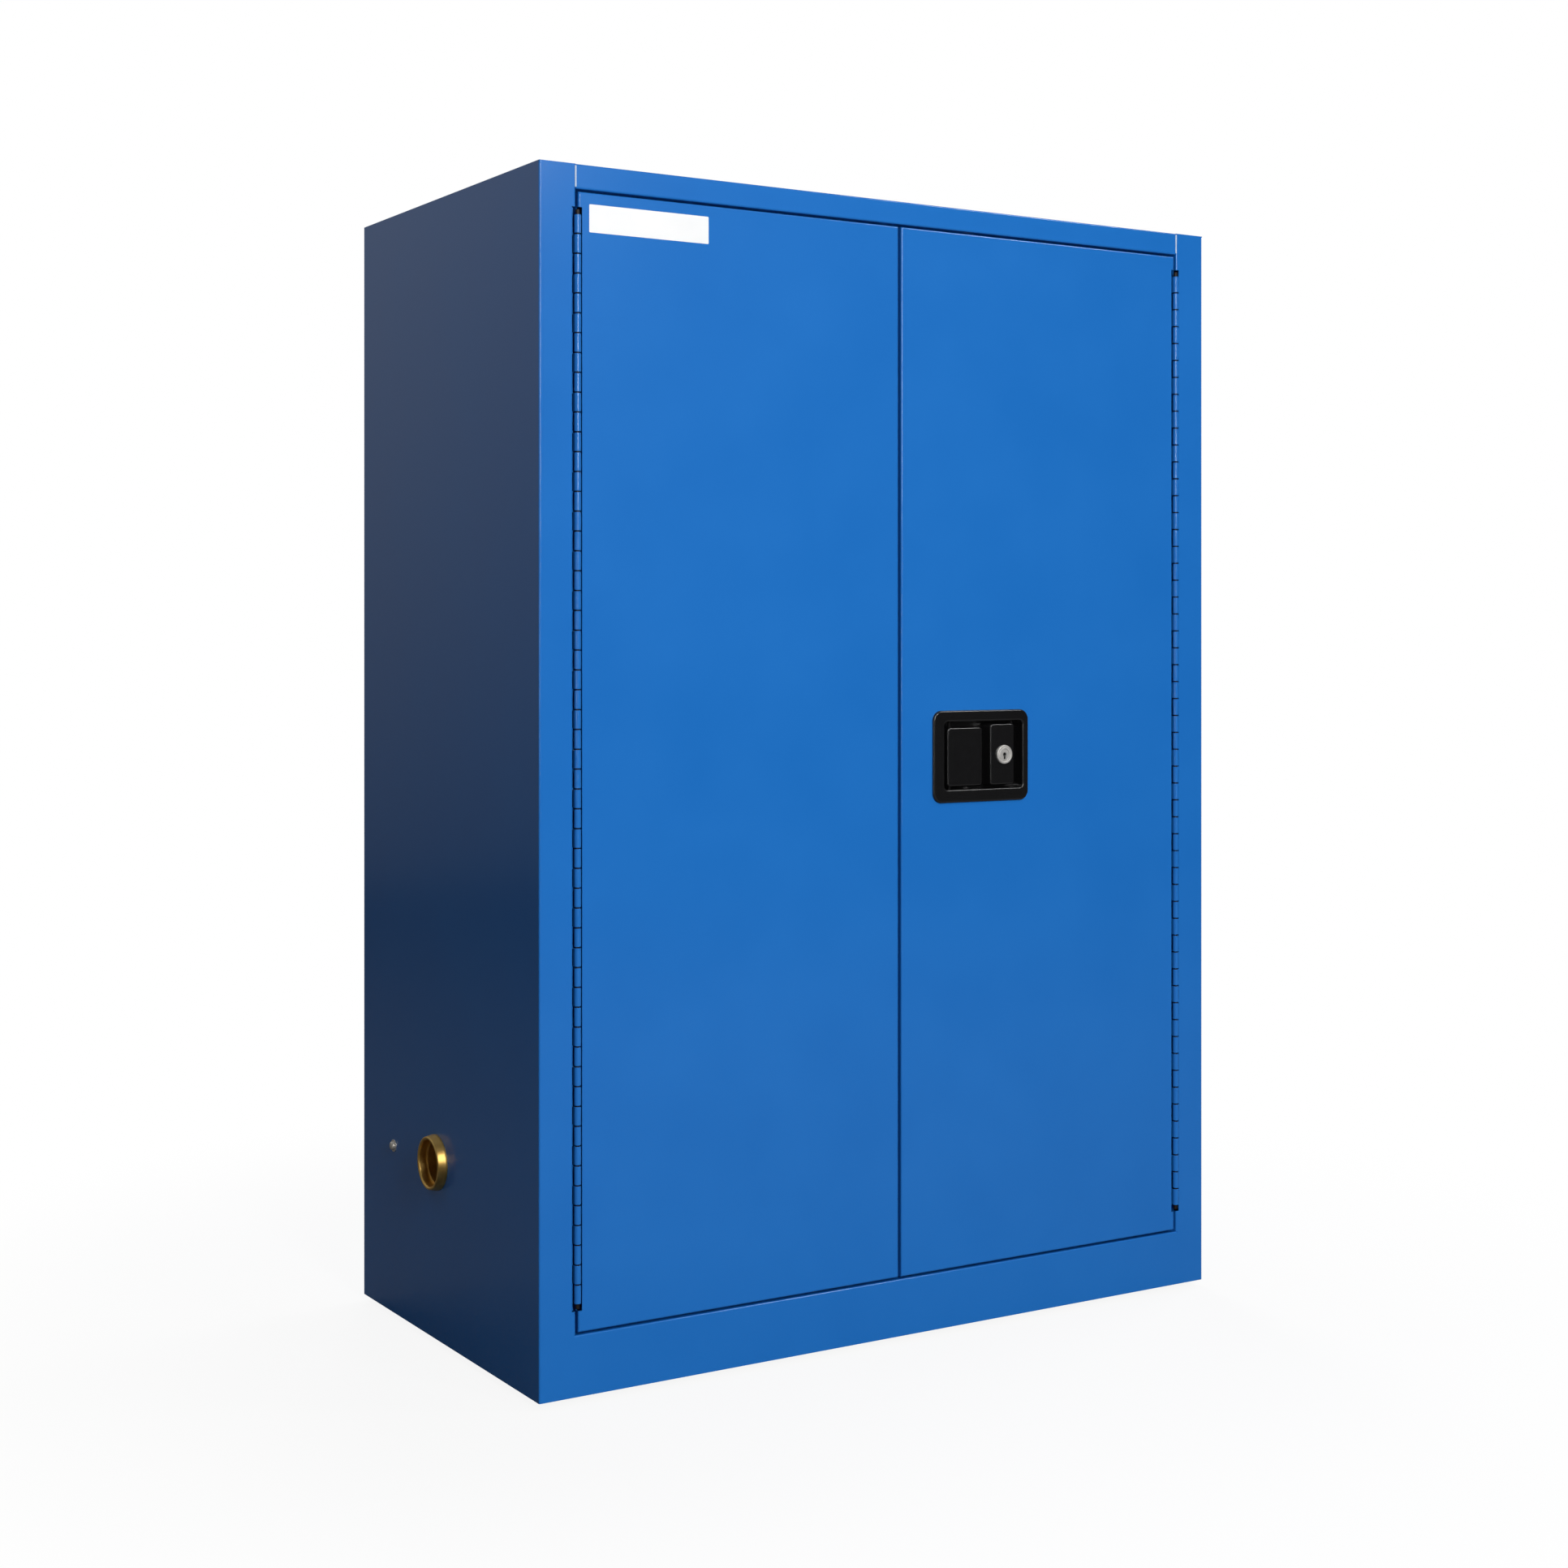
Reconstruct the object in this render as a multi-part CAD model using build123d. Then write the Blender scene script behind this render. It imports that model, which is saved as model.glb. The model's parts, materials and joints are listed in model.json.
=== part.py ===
"""Two-door corrosive storage cabinet of folded sheet steel, with an inner wall, a leak-proof sump,
shelves with plastic trays, continuous hinges and a paddle latch that works two rods.

Millimetres. X to the right, Y to the back, Z up. The origin is the centre of the footprint on the floor.
"""
from build123d import *
import os
from math import atan2, cos, degrees, radians, sin

os.makedirs("parts", exist_ok=True)

# Outer size and sheet
cabinet_width = 1152.0
cabinet_depth = 615.0
cabinet_height = 1650.0
foot_height = 10.0
sheet = 1.2
bend_radius = 2.5
air_gap = 38.8
small_round_sides = 12
turned_sides = 16

# Door frame folded from the side panels, the top panel and the bottom rail
stile_width = 53.5
top_rail_height = 33.0
bottom_rail_height = 82.0
back_return = 25.0
stop_width = 13.0
stop_gap = 3.0

# Doors
door_thickness = 40.0
door_end_gap = 3.5
door_centre_gap = 5.0
inner_pan_flange = 10.0

# Continuous hinges
hinge_pin_diameter = 6.0
hinge_pin_clearance = 0.3
hinge_pin_overhang = 6.0
hinge_leaf = 1.5
hinge_leaf_depth = 27.0
hinge_low = 134.0
hinge_high = 1583.0
knuckle_count = 55
knuckle_gap = 0.4
knuckle_sides = 6
knuckle_bore_sides = 4
hinge_proud = 1.0
hinge_relief = 2.7
hinge_slot_margin = 10.0
hinge_slot_depth = 8.0

# Inner wall, sump and base
liner_lap = 11.0
liner_back_flange = 20.0
ceiling_lip = 12.0
sump_depth = 50.0
sump_lip = 8.0
base_flange = 25.0
pan_corner = 3.0

# Shelves, uprights, clips and trays
shelf_tops = (560.0, 1080.0)
shelf_depth = 440.0
shelf_flange = 30.0
shelf_play = 3.0
upright_width = 25.0
upright_thickness = 3.0
upright_setback = 90.0
upright_end_gap = 30.0
upright_slot_pitch = 260.0
upright_slot_width = 4.0
upright_slot_height = 14.0
clip_width = 18.0
clip_reach = 14.0
clip_height = 16.0
clip_nose = 4.0
tray_wall = 3.0
tray_height = 45.0
tray_margin = 8.0
tray_corner = 8.0
tray_bend = 6.0

# Vents
vent_setback = 338.0
vent_left_height = 265.0
vent_right_drop = 265.0
vent_flange_diameter = 80.0
vent_flange_height = 14.0
vent_spigot_diameter = 70.0
vent_bore_diameter = 62.0
vent_bore_depth = 24.0
vent_inner_diameter = 50.0
vent_hole_clearance = 0.3
vent_inside_reach = 3.0
arrester_thickness = 2.0
arrester_cell = 6.0
arrester_cell_pitch = 15.0
arrester_cell_sides = 6

# Ground screw
ground_setback = 496.0
ground_height = 260.0
ground_washer_diameter = 18.0
ground_washer_thickness = 1.6
ground_head_diameter = 13.0
ground_head_height = 5.0
ground_shank_diameter = 6.0
ground_shank_length = 16.0
ground_clearance = 0.2
ground_head_sides = 6

# Levelling feet
foot_inset = 75.0
foot_diameter = 44.0
foot_crown = 26.0
foot_pad = 4.0
foot_stem_diameter = 10.0
foot_stem_length = 24.0
foot_bush_diameter = 20.0
foot_bush_height = 12.0
foot_bush_sides = 6
foot_clearance = 0.2

# Latch cup and its plate
latch_x = 143.75
latch_z = 845.0
plate_width = 173.5
plate_height = 135.5
plate_corner = 15.0
plate_proud = 4.0
plate_edge = 2.5
recess_shift_x = 4.5
recess_shift_z = 1.5
recess_width = 142.5
recess_height = 99.5
recess_corner = 6.0
recess_edge = 1.2
recess_depth = 22.0
cup_wall = 2.0
cup_clearance = 0.5

# Paddle
paddle_left = 84.0
paddle_low = 801.0
paddle_width = 63.0
paddle_height = 86.5
paddle_corner = 5.0
paddle_edge = 1.5
paddle_depth = 10.0
paddle_wall = 3.0
paddle_below_plate = 3.0
paddle_pin_diameter = 5.0
paddle_pin_clearance = 0.1
paddle_pin_inset = 6.0
paddle_pin_setback = 5.0
paddle_pin_overhang = 1.0
paddle_swing = 30.0
tail_offset = 3.5
tail_width = 4.0
tail_height = 8.0
tail_length = 30.0
tail_slot_play = 1.0

# Lock
lock_x = 186.5
lock_z = 846.0
lock_platform_left = 162.0
lock_platform_width = 43.5
lock_platform_height = 90.0
lock_platform_below_plate = 3.0
lock_platform_taper = 6.0
lock_ring_diameter = 28.0
lock_ring_height = 3.0
lock_barrel_diameter = 22.0
lock_plug_diameter = 16.0
lock_clearance = 0.1
lock_plug_recess = 0.8
lock_barrel_reach = 5.0
keyhole_diameter = 4.4
keyhole_slot_width = 2.2
keyhole_slot_length = 6.0
keyhole_depth = 10.0
lock_cam_length = 36.0
lock_cam_width = 10.0
lock_cam_thickness = 2.0

# Latch cam and rods
cam_gap = 1.0
cam_thickness = 3.0
cam_hub = 28.0
cam_ear_reach = 30.0
cam_ear_width = 12.0
cam_lug_reach = 26.0
cam_lug_width = 10.0
cam_lug_gap = 0.5
cam_swing = 36.0
cam_pin_diameter = 6.0
cam_pin_length = 5.0
stud_diameter = 10.0
stud_head_diameter = 16.0
stud_head_height = 2.0
stud_clearance = 0.1
rod_width = 12.0
rod_thickness = 3.4
rod_clearance = 0.3
rod_tip_gap = 1.0
rod_tip_chamfer = 3.0
rod_eye_gap = 0.6
rod_eye_width = 18.0
rod_eye_height = 15.0
rod_eye_slot = 10.0
keeper_clearance = 1.0
guide_width = 24.0
guide_height = 16.0
guide_inset = 60.0
guide_wall = 4.0

# Planes and lines that the pieces share
side_x = cabinet_width / 2
front_y = -cabinet_depth / 2
back_y = cabinet_depth / 2
base_z = foot_height
top_z = cabinet_height
open_x = side_x - stile_width
open_low = base_z + bottom_rail_height
open_high = top_z - top_rail_height
stop_y = front_y + door_thickness + stop_gap
stop_back = stop_y + sheet
stop_x = open_x - stop_width
hinge_bore = hinge_pin_diameter / 2 + hinge_pin_clearance
barrel_radius = hinge_bore + hinge_leaf
hinge_half_gap = barrel_radius - hinge_leaf - sheet
hinge_x = open_x - hinge_half_gap
hinge_y = front_y - hinge_proud
hinge_slot_half = barrel_radius + hinge_relief
hinge_slot_low = hinge_low - hinge_slot_margin
hinge_slot_high = hinge_high + hinge_slot_margin
hinge_slot_back = front_y + hinge_slot_depth
knuckle_pitch = (hinge_high - hinge_low) / knuckle_count
door_low = open_low + door_end_gap
door_high = open_high - door_end_gap
door_edge_x = hinge_x - hinge_half_gap
door_free_x = door_centre_gap / 2
door_back = front_y + door_thickness
door_inside_back = door_back - sheet
liner_x = side_x - air_gap
liner_inside_x = liner_x - sheet
liner_back_y = back_y - air_gap
liner_top = top_z - air_gap
sump_floor = open_low - sump_depth
sump_top = open_low + sump_lip
vent_right_height = top_z - vent_right_drop
foot_hole = foot_stem_diameter + 2 * foot_clearance


def span(x, y, z):
    """Block between a low and a high value on each axis."""
    centre = Pos((x[0] + x[1]) / 2, (y[0] + y[1]) / 2, (z[0] + z[1]) / 2)
    return centre * Box(x[1] - x[0], y[1] - y[0], z[1] - z[0])


def facing_front(y):
    """Plane at depth y whose normal points to the front, with X to the right and Z up."""
    return Plane(origin=(0, y, 0), x_dir=(1, 0, 0), z_dir=(0, -1, 0))


def small_round(diameter):
    """Outline of a small turned piece, as a polygon within its circle."""
    return RegularPolygon(diameter / 2, small_round_sides)


def small_hole(diameter):
    """Outline of a small drilled hole, as a polygon round its circle."""
    return RegularPolygon(diameter / 2, small_round_sides, major_radius=False)


def soft_rectangle(width, height, corner):
    """Rectangle whose corners have the flats of a small round."""
    corners = GridLocations(width - 2 * corner, height - 2 * corner, 2, 2)
    edges = ShapeList()
    for place in corners:
        edges += (place * small_round(2 * corner)).edges()
    return make_hull(edges)


def pin_between(x, y, low, high, diameter):
    """Upright pin."""
    return extrude(Pos(x, y, low) * Circle(diameter / 2), amount=high - low)


def drilled(x, y, low, high, diameter):
    """Upright drill for a small hole."""
    return extrude(Pos(x, y, low) * small_hole(diameter), amount=high - low)


def folded(path, radii, side, plane, length):
    """Sheet folded along a path of its outer faces, one radius per corner, centred on its plane."""
    line = FilletPolyline(*path, radius=radii)
    section = make_face(offset(line, amount=sheet, side=side))
    return extrude(plane * section, amount=length / 2, both=True)


def eased_block(x, y, z, axis, closed_end, ease, bend, corner):
    """Block whose closed end is filleted or chamfered; the edges along its axis may be cut off."""
    block = span(x, y, z)
    if corner > 0:
        block = chamfer(block.edges().filter_by(axis), corner)
    end_face = block.faces().filter_by(axis).sort_by(axis)[closed_end]
    return ease(end_face.edges(), bend)


def pan(x, y, z, axis, closed_end, wall, ease, bend, corner=0.0):
    """Open pan: an eased block with a smaller one taken out of its open end."""
    outer = eased_block(x, y, z, axis, closed_end, ease, bend, corner)
    spans = {Axis.X: list(x), Axis.Y: list(y), Axis.Z: list(z)}
    for direction, limits in spans.items():
        if direction != axis:
            limits[0] += wall
            limits[1] -= wall
    open_end = -1 - closed_end
    spans[axis][closed_end] += wall if closed_end == 0 else -wall
    spans[axis][open_end] += wall if closed_end == 0 else -wall
    inside = (spans[Axis.X], spans[Axis.Y], spans[Axis.Z])
    inner_corner = max(corner - wall, 0.0)
    return outer - eased_block(*inside, axis, closed_end, ease, bend - wall, inner_corner)


def to_left(shape):
    """The same piece on the left half of the cabinet."""
    return mirror(shape, about=Plane.YZ)


def save(name, shape):
    export_step(shape, f"parts/{name}.step")


# Door frame: side panels, top panel, bottom rail

def side_panel(vent_height, grounded):
    """Right side panel, with the back return, side, stile, jamb and door stop folded from one sheet."""
    path = [
        (side_x - back_return, back_y - sheet),
        (side_x, back_y - sheet),
        (side_x, front_y),
        (open_x, front_y),
        (open_x, stop_y),
        (stop_x, stop_y),
    ]
    radii = [0, bend_radius, bend_radius, 0]
    low, high = base_z, top_z - sheet
    panel = folded(path, radii, Side.RIGHT, Plane.XY.offset((low + high) / 2), high - low)
    sill_notch = span((0, open_x + bend_radius), (front_y - sheet, 0), (low - sheet, open_low))
    rail_notch = span((0, open_x), (front_y - sheet, 0), (open_high, high + sheet))
    hinge_slot = span(
        (0, hinge_x + hinge_slot_half),
        (front_y - sheet, hinge_slot_back),
        (hinge_slot_low, hinge_slot_high),
    )
    panel -= sill_notch
    panel -= rail_notch
    panel -= hinge_slot
    panel -= vent_hole(vent_height)
    if grounded:
        shank_hole = small_hole(ground_shank_diameter + 2 * ground_clearance)
        at_screw = on_side(side_x, ground_setback, ground_height)
        panel -= extrude(at_screw * shank_hole, amount=bend_radius, both=True)
    return panel


def on_side(x, setback, height):
    """Place on the right side of the cabinet, with local Z pointing outwards."""
    return Plane(origin=(x, front_y + setback, height), x_dir=(0, 1, 0), z_dir=(1, 0, 0))


def vent_hole(height):
    """Hole through the side panel and the inner wall for the spigot of a vent collar."""
    radius = vent_spigot_diameter / 2 + vent_hole_clearance
    reach = air_gap / 2 + sheet
    middle = on_side(side_x - air_gap / 2, vent_setback, height)
    hole = RegularPolygon(radius, turned_sides, major_radius=False)
    return extrude(middle * hole, amount=reach, both=True)


def top_panel():
    """Top sheet with the top rail and its underside folded down from it."""
    path = [
        (back_y, top_z),
        (front_y, top_z),
        (front_y, open_high),
        (stop_back, open_high),
    ]
    panel = folded(path, [bend_radius, bend_radius], Side.LEFT, Plane.YZ, 2 * open_x)
    wing = span((open_x, side_x), (front_y, back_y), (top_z - sheet, top_z))
    panel += wing
    panel += to_left(wing)
    return panel - keeper_hole(1, open_high)


def bottom_rail():
    """Sill with its top folded back under the doors."""
    path = [
        (front_y, base_z),
        (front_y, open_low),
        (stop_back, open_low),
    ]
    rail = folded(path, [bend_radius], Side.RIGHT, Plane.YZ, 2 * (open_x + bend_radius))
    return rail - keeper_hole(-1, open_low)


def door_stop(low):
    """Strip welded on edge to the rail, between the stops of the two side panels."""
    return span((-stop_x, stop_x), (stop_y, stop_back), (low, low + stop_width))


# Back, base and inner wall

def back_panel():
    """Flat back sheet that lies on the returns of the side panels."""
    return span((-side_x, side_x), (back_y - sheet, back_y), (base_z, top_z - sheet))


def base_panel():
    """Floor pan with upturned edges and a hole for each levelling foot."""
    inside = side_x - sheet
    panel = pan(
        (-inside, inside), (front_y + sheet, back_y - 2 * sheet), (base_z, base_z + base_flange),
        Axis.Z, 0, sheet, chamfer, bend_radius, pan_corner,
    )
    for x, y in foot_places():
        panel -= drilled(x, y, base_z - sheet, base_z + 2 * sheet, foot_hole)
    return panel


def side_liner(vent_height):
    """Right inner wall, with a front flange that lies on the door stop."""
    path = [
        (open_x - liner_lap, stop_back),
        (liner_x, stop_back),
        (liner_x, liner_back_y),
    ]
    low, high = base_z + sheet, liner_top
    wall = folded(path, [bend_radius], Side.LEFT, Plane.XY.offset((low + high) / 2), high - low)
    return wall - vent_hole(vent_height)


def back_liner():
    """Back inner wall that stands on the sump, with flanges along the side walls."""
    path = [
        (-liner_inside_x, liner_back_y - liner_back_flange),
        (-liner_inside_x, liner_back_y),
        (liner_inside_x, liner_back_y),
        (liner_inside_x, liner_back_y - liner_back_flange),
    ]
    low, high = sump_top, liner_top - sheet
    middle = Plane.XY.offset((low + high) / 2)
    return folded(path, [bend_radius, bend_radius], Side.RIGHT, middle, high - low)


def ceiling_liner():
    """Inner ceiling that lies on the back wall, with a lip at the front."""
    front = stop_back + bend_radius
    path = [
        (front, liner_top - ceiling_lip),
        (front, liner_top),
        (liner_back_y, liner_top),
    ]
    return folded(path, [bend_radius], Side.RIGHT, Plane.YZ, 2 * liner_inside_x)


def sump():
    """Leak-proof floor pan, deeper than the sill."""
    return pan(
        (-liner_inside_x, liner_inside_x), (stop_back + sheet, liner_back_y), (sump_floor, sump_top),
        Axis.Z, 0, sheet, chamfer, bend_radius, pan_corner,
    )


# Doors

def door_outer_pan():
    """Right door's front sheet and its four edges, cut away for the hinge knuckles."""
    door = pan(
        (door_free_x, door_edge_x), (front_y, door_back), (door_low, door_high),
        Axis.Y, 0, sheet, fillet, bend_radius,
    )
    hinge_slot = span(
        (hinge_x - hinge_slot_half, side_x),
        (front_y - sheet, hinge_slot_back),
        (hinge_slot_low, hinge_slot_high),
    )
    return door - hinge_slot


def door_inner_pan():
    """Right door's inner sheet, whose edges stand inside those of the outer pan."""
    return pan(
        (door_free_x + sheet, door_edge_x - sheet),
        (door_back - inner_pan_flange, door_back),
        (door_low + sheet, door_high - sheet),
        Axis.Y, -1, sheet, chamfer, bend_radius,
    )


# Continuous hinges

def hinge_leaf_plate(towards_frame):
    """One leaf of the right hinge, with every second knuckle on the pin's axis."""
    way = 1 if towards_frame else -1
    turn = 180 / knuckle_sides
    barrel = RegularPolygon(barrel_radius, knuckle_sides, major_radius=False, rotation=turn)
    bore_turn = 180 / knuckle_bore_sides
    bore = RegularPolygon(hinge_bore, knuckle_bore_sides, major_radius=False, rotation=bore_turn)
    plate_end = hinge_proud + hinge_leaf_depth
    plate = Pos(way * (barrel_radius - hinge_leaf / 2), plate_end / 2) * Rectangle(hinge_leaf, plate_end)
    section = barrel - bore + plate
    length = hinge_high - hinge_low
    leaf = extrude(Pos(hinge_x, hinge_y, hinge_low) * section, amount=length)
    reach = 2 * barrel_radius
    across = (hinge_x - reach, hinge_x + reach)
    barrel_corner = barrel_radius / cos(radians(turn))
    deep = (hinge_y - reach, hinge_y + barrel_corner + knuckle_gap)
    first = 0 if towards_frame else 1
    gaps = []
    for index in range(first, knuckle_count, 2):
        low = hinge_low + index * knuckle_pitch - knuckle_gap / 2
        high = low + knuckle_pitch + knuckle_gap
        gaps.append(span(across, deep, (low, high)))
    return leaf - gaps


def hinge_pin():
    """Pin of the right hinge, longer than the knuckles at both ends."""
    low = hinge_low - hinge_pin_overhang
    high = hinge_high + hinge_pin_overhang
    return pin_between(hinge_x, hinge_y, low, high, hinge_pin_diameter)


# Latch cup, paddle and lock, all on the right door

plate_y = front_y - plate_proud
recess_x = latch_x + recess_shift_x
recess_z = latch_z + recess_shift_z
recess_y = front_y + recess_depth
cup_back = recess_y + cup_wall
pocket_width = recess_width + 2 * cup_wall
pocket_height = recess_height + 2 * cup_wall
paddle_y = plate_y + paddle_below_plate
paddle_pin_x = paddle_left + paddle_pin_inset
paddle_pin_y = paddle_y + paddle_pin_setback
lock_face = plate_y + lock_platform_below_plate
cam_y = cup_back + cam_gap
cam_back = cam_y + cam_thickness
cam_rest = cam_swing / 2
cam_lug_dx = -cam_lug_reach * sin(radians(cam_rest))
cam_lug_dz = cam_lug_reach * cos(radians(cam_rest))
tail_low_x = paddle_pin_x + tail_offset
tail_high_x = tail_low_x + tail_width
cam_x = tail_high_x + cam_lug_gap + cam_lug_width / 2 - cam_lug_dx
cam_z = latch_z
cam_ear_dx = cam_ear_reach * cos(radians(cam_rest))
cam_ear_dz = cam_ear_reach * sin(radians(cam_rest))
tail_middle_z = cam_z + cam_lug_dz
rod_dx = (cam_ear_dx + cam_ear_reach) / 2
rod_front = cam_back + rod_eye_gap
rod_back = rod_front + rod_thickness
paddle_pin_hole = paddle_pin_diameter + 2 * paddle_pin_clearance
pin_low = recess_z - pocket_height / 2 - paddle_pin_overhang
pin_high = recess_z + pocket_height / 2 + paddle_pin_overhang
upper_rod_tip = open_high - rod_tip_gap
lower_rod_tip = open_low + rod_tip_gap


def pocket(y, width, height, corner, depth):
    """Rounded rectangle at the recess, pushed back from depth y."""
    sketch = facing_front(y) * Pos(recess_x, recess_z) * soft_rectangle(width, height, corner)
    return extrude(sketch, amount=-depth)


def along_rod(way, low, high, play):
    """Upright bar on a latch rod's line, wider and thicker than the rod by the play on each side."""
    x = cam_x + way * rod_dx
    half = rod_width / 2 + play
    return span((x - half, x + half), (rod_front - play, rod_back + play), (low, high))


def keeper_hole(way, z):
    """Hole in the frame above or below the door for the tip of a latch rod."""
    return along_rod(way, z - bend_radius, z + bend_radius, keeper_clearance)


def rod_passage(way, z):
    """Hole in the top or bottom edge of the door for a latch rod."""
    reach = 2 * bend_radius
    return along_rod(way, z - reach, z + reach, rod_clearance)


def cup_cutout():
    """Hole in the door's front sheet for the latch cup."""
    width = pocket_width + 2 * cup_clearance
    height = pocket_height + 2 * cup_clearance
    through = 2 * sheet
    return pocket(front_y - sheet, width, height, recess_corner + cup_wall, sheet + through)


def latch_cup():
    """Plate on the door with a recess for the paddle and a raised platform for the lock."""
    outline = soft_rectangle(plate_width, plate_height, plate_corner)
    plate = extrude(facing_front(front_y) * Pos(latch_x, latch_z) * outline, amount=plate_proud)
    plate = chamfer(plate.faces().sort_by(Axis.Y)[0].edges(), plate_edge)
    outer_corner = recess_corner + cup_wall
    cup = plate + pocket(front_y, pocket_width, pocket_height, outer_corner, recess_depth + cup_wall)
    cup -= pocket(plate_y, recess_width, recess_height, recess_corner, plate_proud + recess_depth)
    mouth = cup.faces().sort_by(Axis.Y)[0].inner_wires()[0].edges()
    cup = chamfer(mouth, recess_edge)
    platform_x = lock_platform_left + lock_platform_width / 2
    platform = Rectangle(lock_platform_width, lock_platform_height)
    platform = facing_front(lock_face) * Pos(platform_x, recess_z) * platform
    cup += extrude(platform, amount=-(recess_y - lock_face), taper=-lock_platform_taper)
    barrel_hole = small_hole(lock_barrel_diameter + 2 * lock_clearance)
    at_lock = facing_front(lock_face) * Pos(lock_x, lock_z)
    cup -= extrude(at_lock * barrel_hole, amount=-(cup_back - lock_face))
    cup -= drilled(paddle_pin_x, paddle_pin_y, pin_low, pin_high, paddle_pin_hole)
    return cup - tail_slot()


def tail_slot():
    """Slot in the floor of the cup, as long as the paddle's tail swings."""
    lean = radians(paddle_swing)
    swept = (tail_offset + tail_width) / cos(lean) + (cup_back - paddle_pin_y) * sin(lean) / cos(lean)
    half = tail_height / 2 + tail_slot_play
    return span(
        (tail_low_x - tail_slot_play, paddle_pin_x + swept + tail_slot_play),
        (recess_y - cup_wall, cup_back + cup_wall),
        (tail_middle_z - half, tail_middle_z + half),
    )


def paddle():
    """Shallow pan that turns on the pin at its left, with a tail that reaches the latch cam."""
    middle = facing_front(paddle_y) * Pos(
        paddle_left + paddle_width / 2, paddle_low + paddle_height / 2
    )
    outline = soft_rectangle(paddle_width, paddle_height, paddle_corner)
    body = extrude(middle * outline, amount=-paddle_depth)
    body = chamfer(body.faces().sort_by(Axis.Y)[0].edges(), paddle_edge)
    hollow = Rectangle(paddle_width - 2 * paddle_wall, paddle_height - 2 * paddle_wall)
    floor = Pos(0, 0, -paddle_wall) * hollow
    body -= extrude(middle * floor, amount=-(paddle_depth - paddle_wall))
    tail = span(
        (tail_low_x, tail_high_x),
        (paddle_y + paddle_wall, paddle_pin_y + tail_length),
        (tail_middle_z - tail_height / 2, tail_middle_z + tail_height / 2),
    )
    body += tail
    return body - drilled(paddle_pin_x, paddle_pin_y, pin_low, pin_high, paddle_pin_hole)


def paddle_pin():
    """Upright pin held in the top and bottom walls of the cup."""
    return pin_between(paddle_pin_x, paddle_pin_y, pin_low, pin_high, paddle_pin_diameter)


def lock_housing():
    """Ring on the platform with a barrel that passes through the cup."""
    at_lock = facing_front(lock_face) * Pos(lock_x, lock_z)
    depth = lock_barrel_back - lock_face
    ring = RegularPolygon(lock_ring_diameter / 2, turned_sides)
    housing = extrude(at_lock * ring, amount=lock_ring_height)
    housing += extrude(at_lock * small_round(lock_barrel_diameter), amount=-depth)
    bore = small_hole(lock_plug_diameter + 2 * lock_clearance)
    at_face = facing_front(lock_face - lock_ring_height) * Pos(lock_x, lock_z)
    return housing - extrude(at_face * bore, amount=-(depth + lock_ring_height))


lock_barrel_back = cup_back + lock_barrel_reach
lock_plug_front = lock_face - lock_ring_height + lock_plug_recess
lock_plug_back = lock_barrel_back + lock_clearance


def lock_plug():
    """Turning core of the lock, with a keyhole in its face."""
    at_plug = facing_front(lock_plug_front) * Pos(lock_x, lock_z)
    core = RegularPolygon(lock_plug_diameter / 2, turned_sides)
    plug = extrude(at_plug * core, amount=-(lock_plug_back - lock_plug_front))
    slot = Pos(0, -keyhole_slot_length / 2) * Rectangle(keyhole_slot_width, keyhole_slot_length)
    keyhole = Circle(keyhole_diameter / 2) + slot
    return plug - extrude(at_plug * keyhole, amount=-keyhole_depth)


def lock_cam():
    """Finger on the back of the plug, hanging down while the lock is open."""
    above_axis = lock_cam_width / 2
    finger = Rectangle(lock_cam_width, lock_cam_length + above_axis)
    finger = Pos(0, (above_axis - lock_cam_length) / 2) * finger
    at_plug = facing_front(lock_plug_back) * Pos(lock_x, lock_z)
    return extrude(at_plug * finger, amount=-lock_cam_thickness)


# Latch cam and rods

def latch_cam():
    """Plate with two ears for the rods and a lug for the paddle's tail, turned to its latched place."""
    outline = small_round(cam_hub) + Rectangle(2 * cam_ear_reach, cam_ear_width)
    for way in (-1, 1):
        outline += Pos(way * cam_ear_reach, 0) * small_round(cam_ear_width)
    outline += Pos(0, cam_lug_reach / 2) * Rectangle(cam_lug_width, cam_lug_reach)
    outline += Pos(0, cam_lug_reach) * small_round(cam_lug_width)
    outline -= small_hole(stud_diameter + 2 * stud_clearance)
    at_cam = facing_front(cam_y) * Pos(cam_x, cam_z) * Rot(0, 0, cam_rest)
    cam = extrude(at_cam * outline, amount=-cam_thickness)
    for way in (-1, 1):
        pin = facing_front(cam_back) * Pos(cam_x + way * cam_ear_dx, cam_z + way * cam_ear_dz)
        cam += extrude(pin * small_round(cam_pin_diameter), amount=-cam_pin_length)
    return cam


def cam_stud():
    """Stud on the back of the cup that the latch cam turns on."""
    at_stud = facing_front(cup_back) * Pos(cam_x, cam_z)
    length = cam_gap + cam_thickness + rod_eye_gap
    stud = extrude(at_stud * Circle(stud_diameter / 2), amount=-length)
    at_head = facing_front(cup_back + length) * Pos(cam_x, cam_z)
    return stud + extrude(at_head * small_round(stud_head_diameter), amount=-stud_head_height)


def latch_rod(way):
    """Flat rod from the cam's ear to the edge of the door, upwards or downwards."""
    x = cam_x + way * rod_dx
    ear_z = cam_z + way * cam_ear_dz
    tip = upper_rod_tip if way > 0 else lower_rod_tip
    bar = along_rod(way, min(ear_z, tip), max(ear_z, tip), 0)
    tip_edges = bar.edges().filter_by(Axis.Y).group_by(Axis.Z)[-1 if way > 0 else 0]
    bar = chamfer(tip_edges, rod_tip_chamfer)
    at_ear = facing_front(rod_front) * Pos(x, ear_z)
    bar += extrude(at_ear * Rectangle(rod_eye_width, rod_eye_height), amount=-rod_thickness)
    eye_slot = Rectangle(rod_eye_slot, cam_pin_diameter + 2 * rod_clearance)
    return bar - extrude(at_ear * eye_slot, amount=-rod_thickness)


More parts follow.
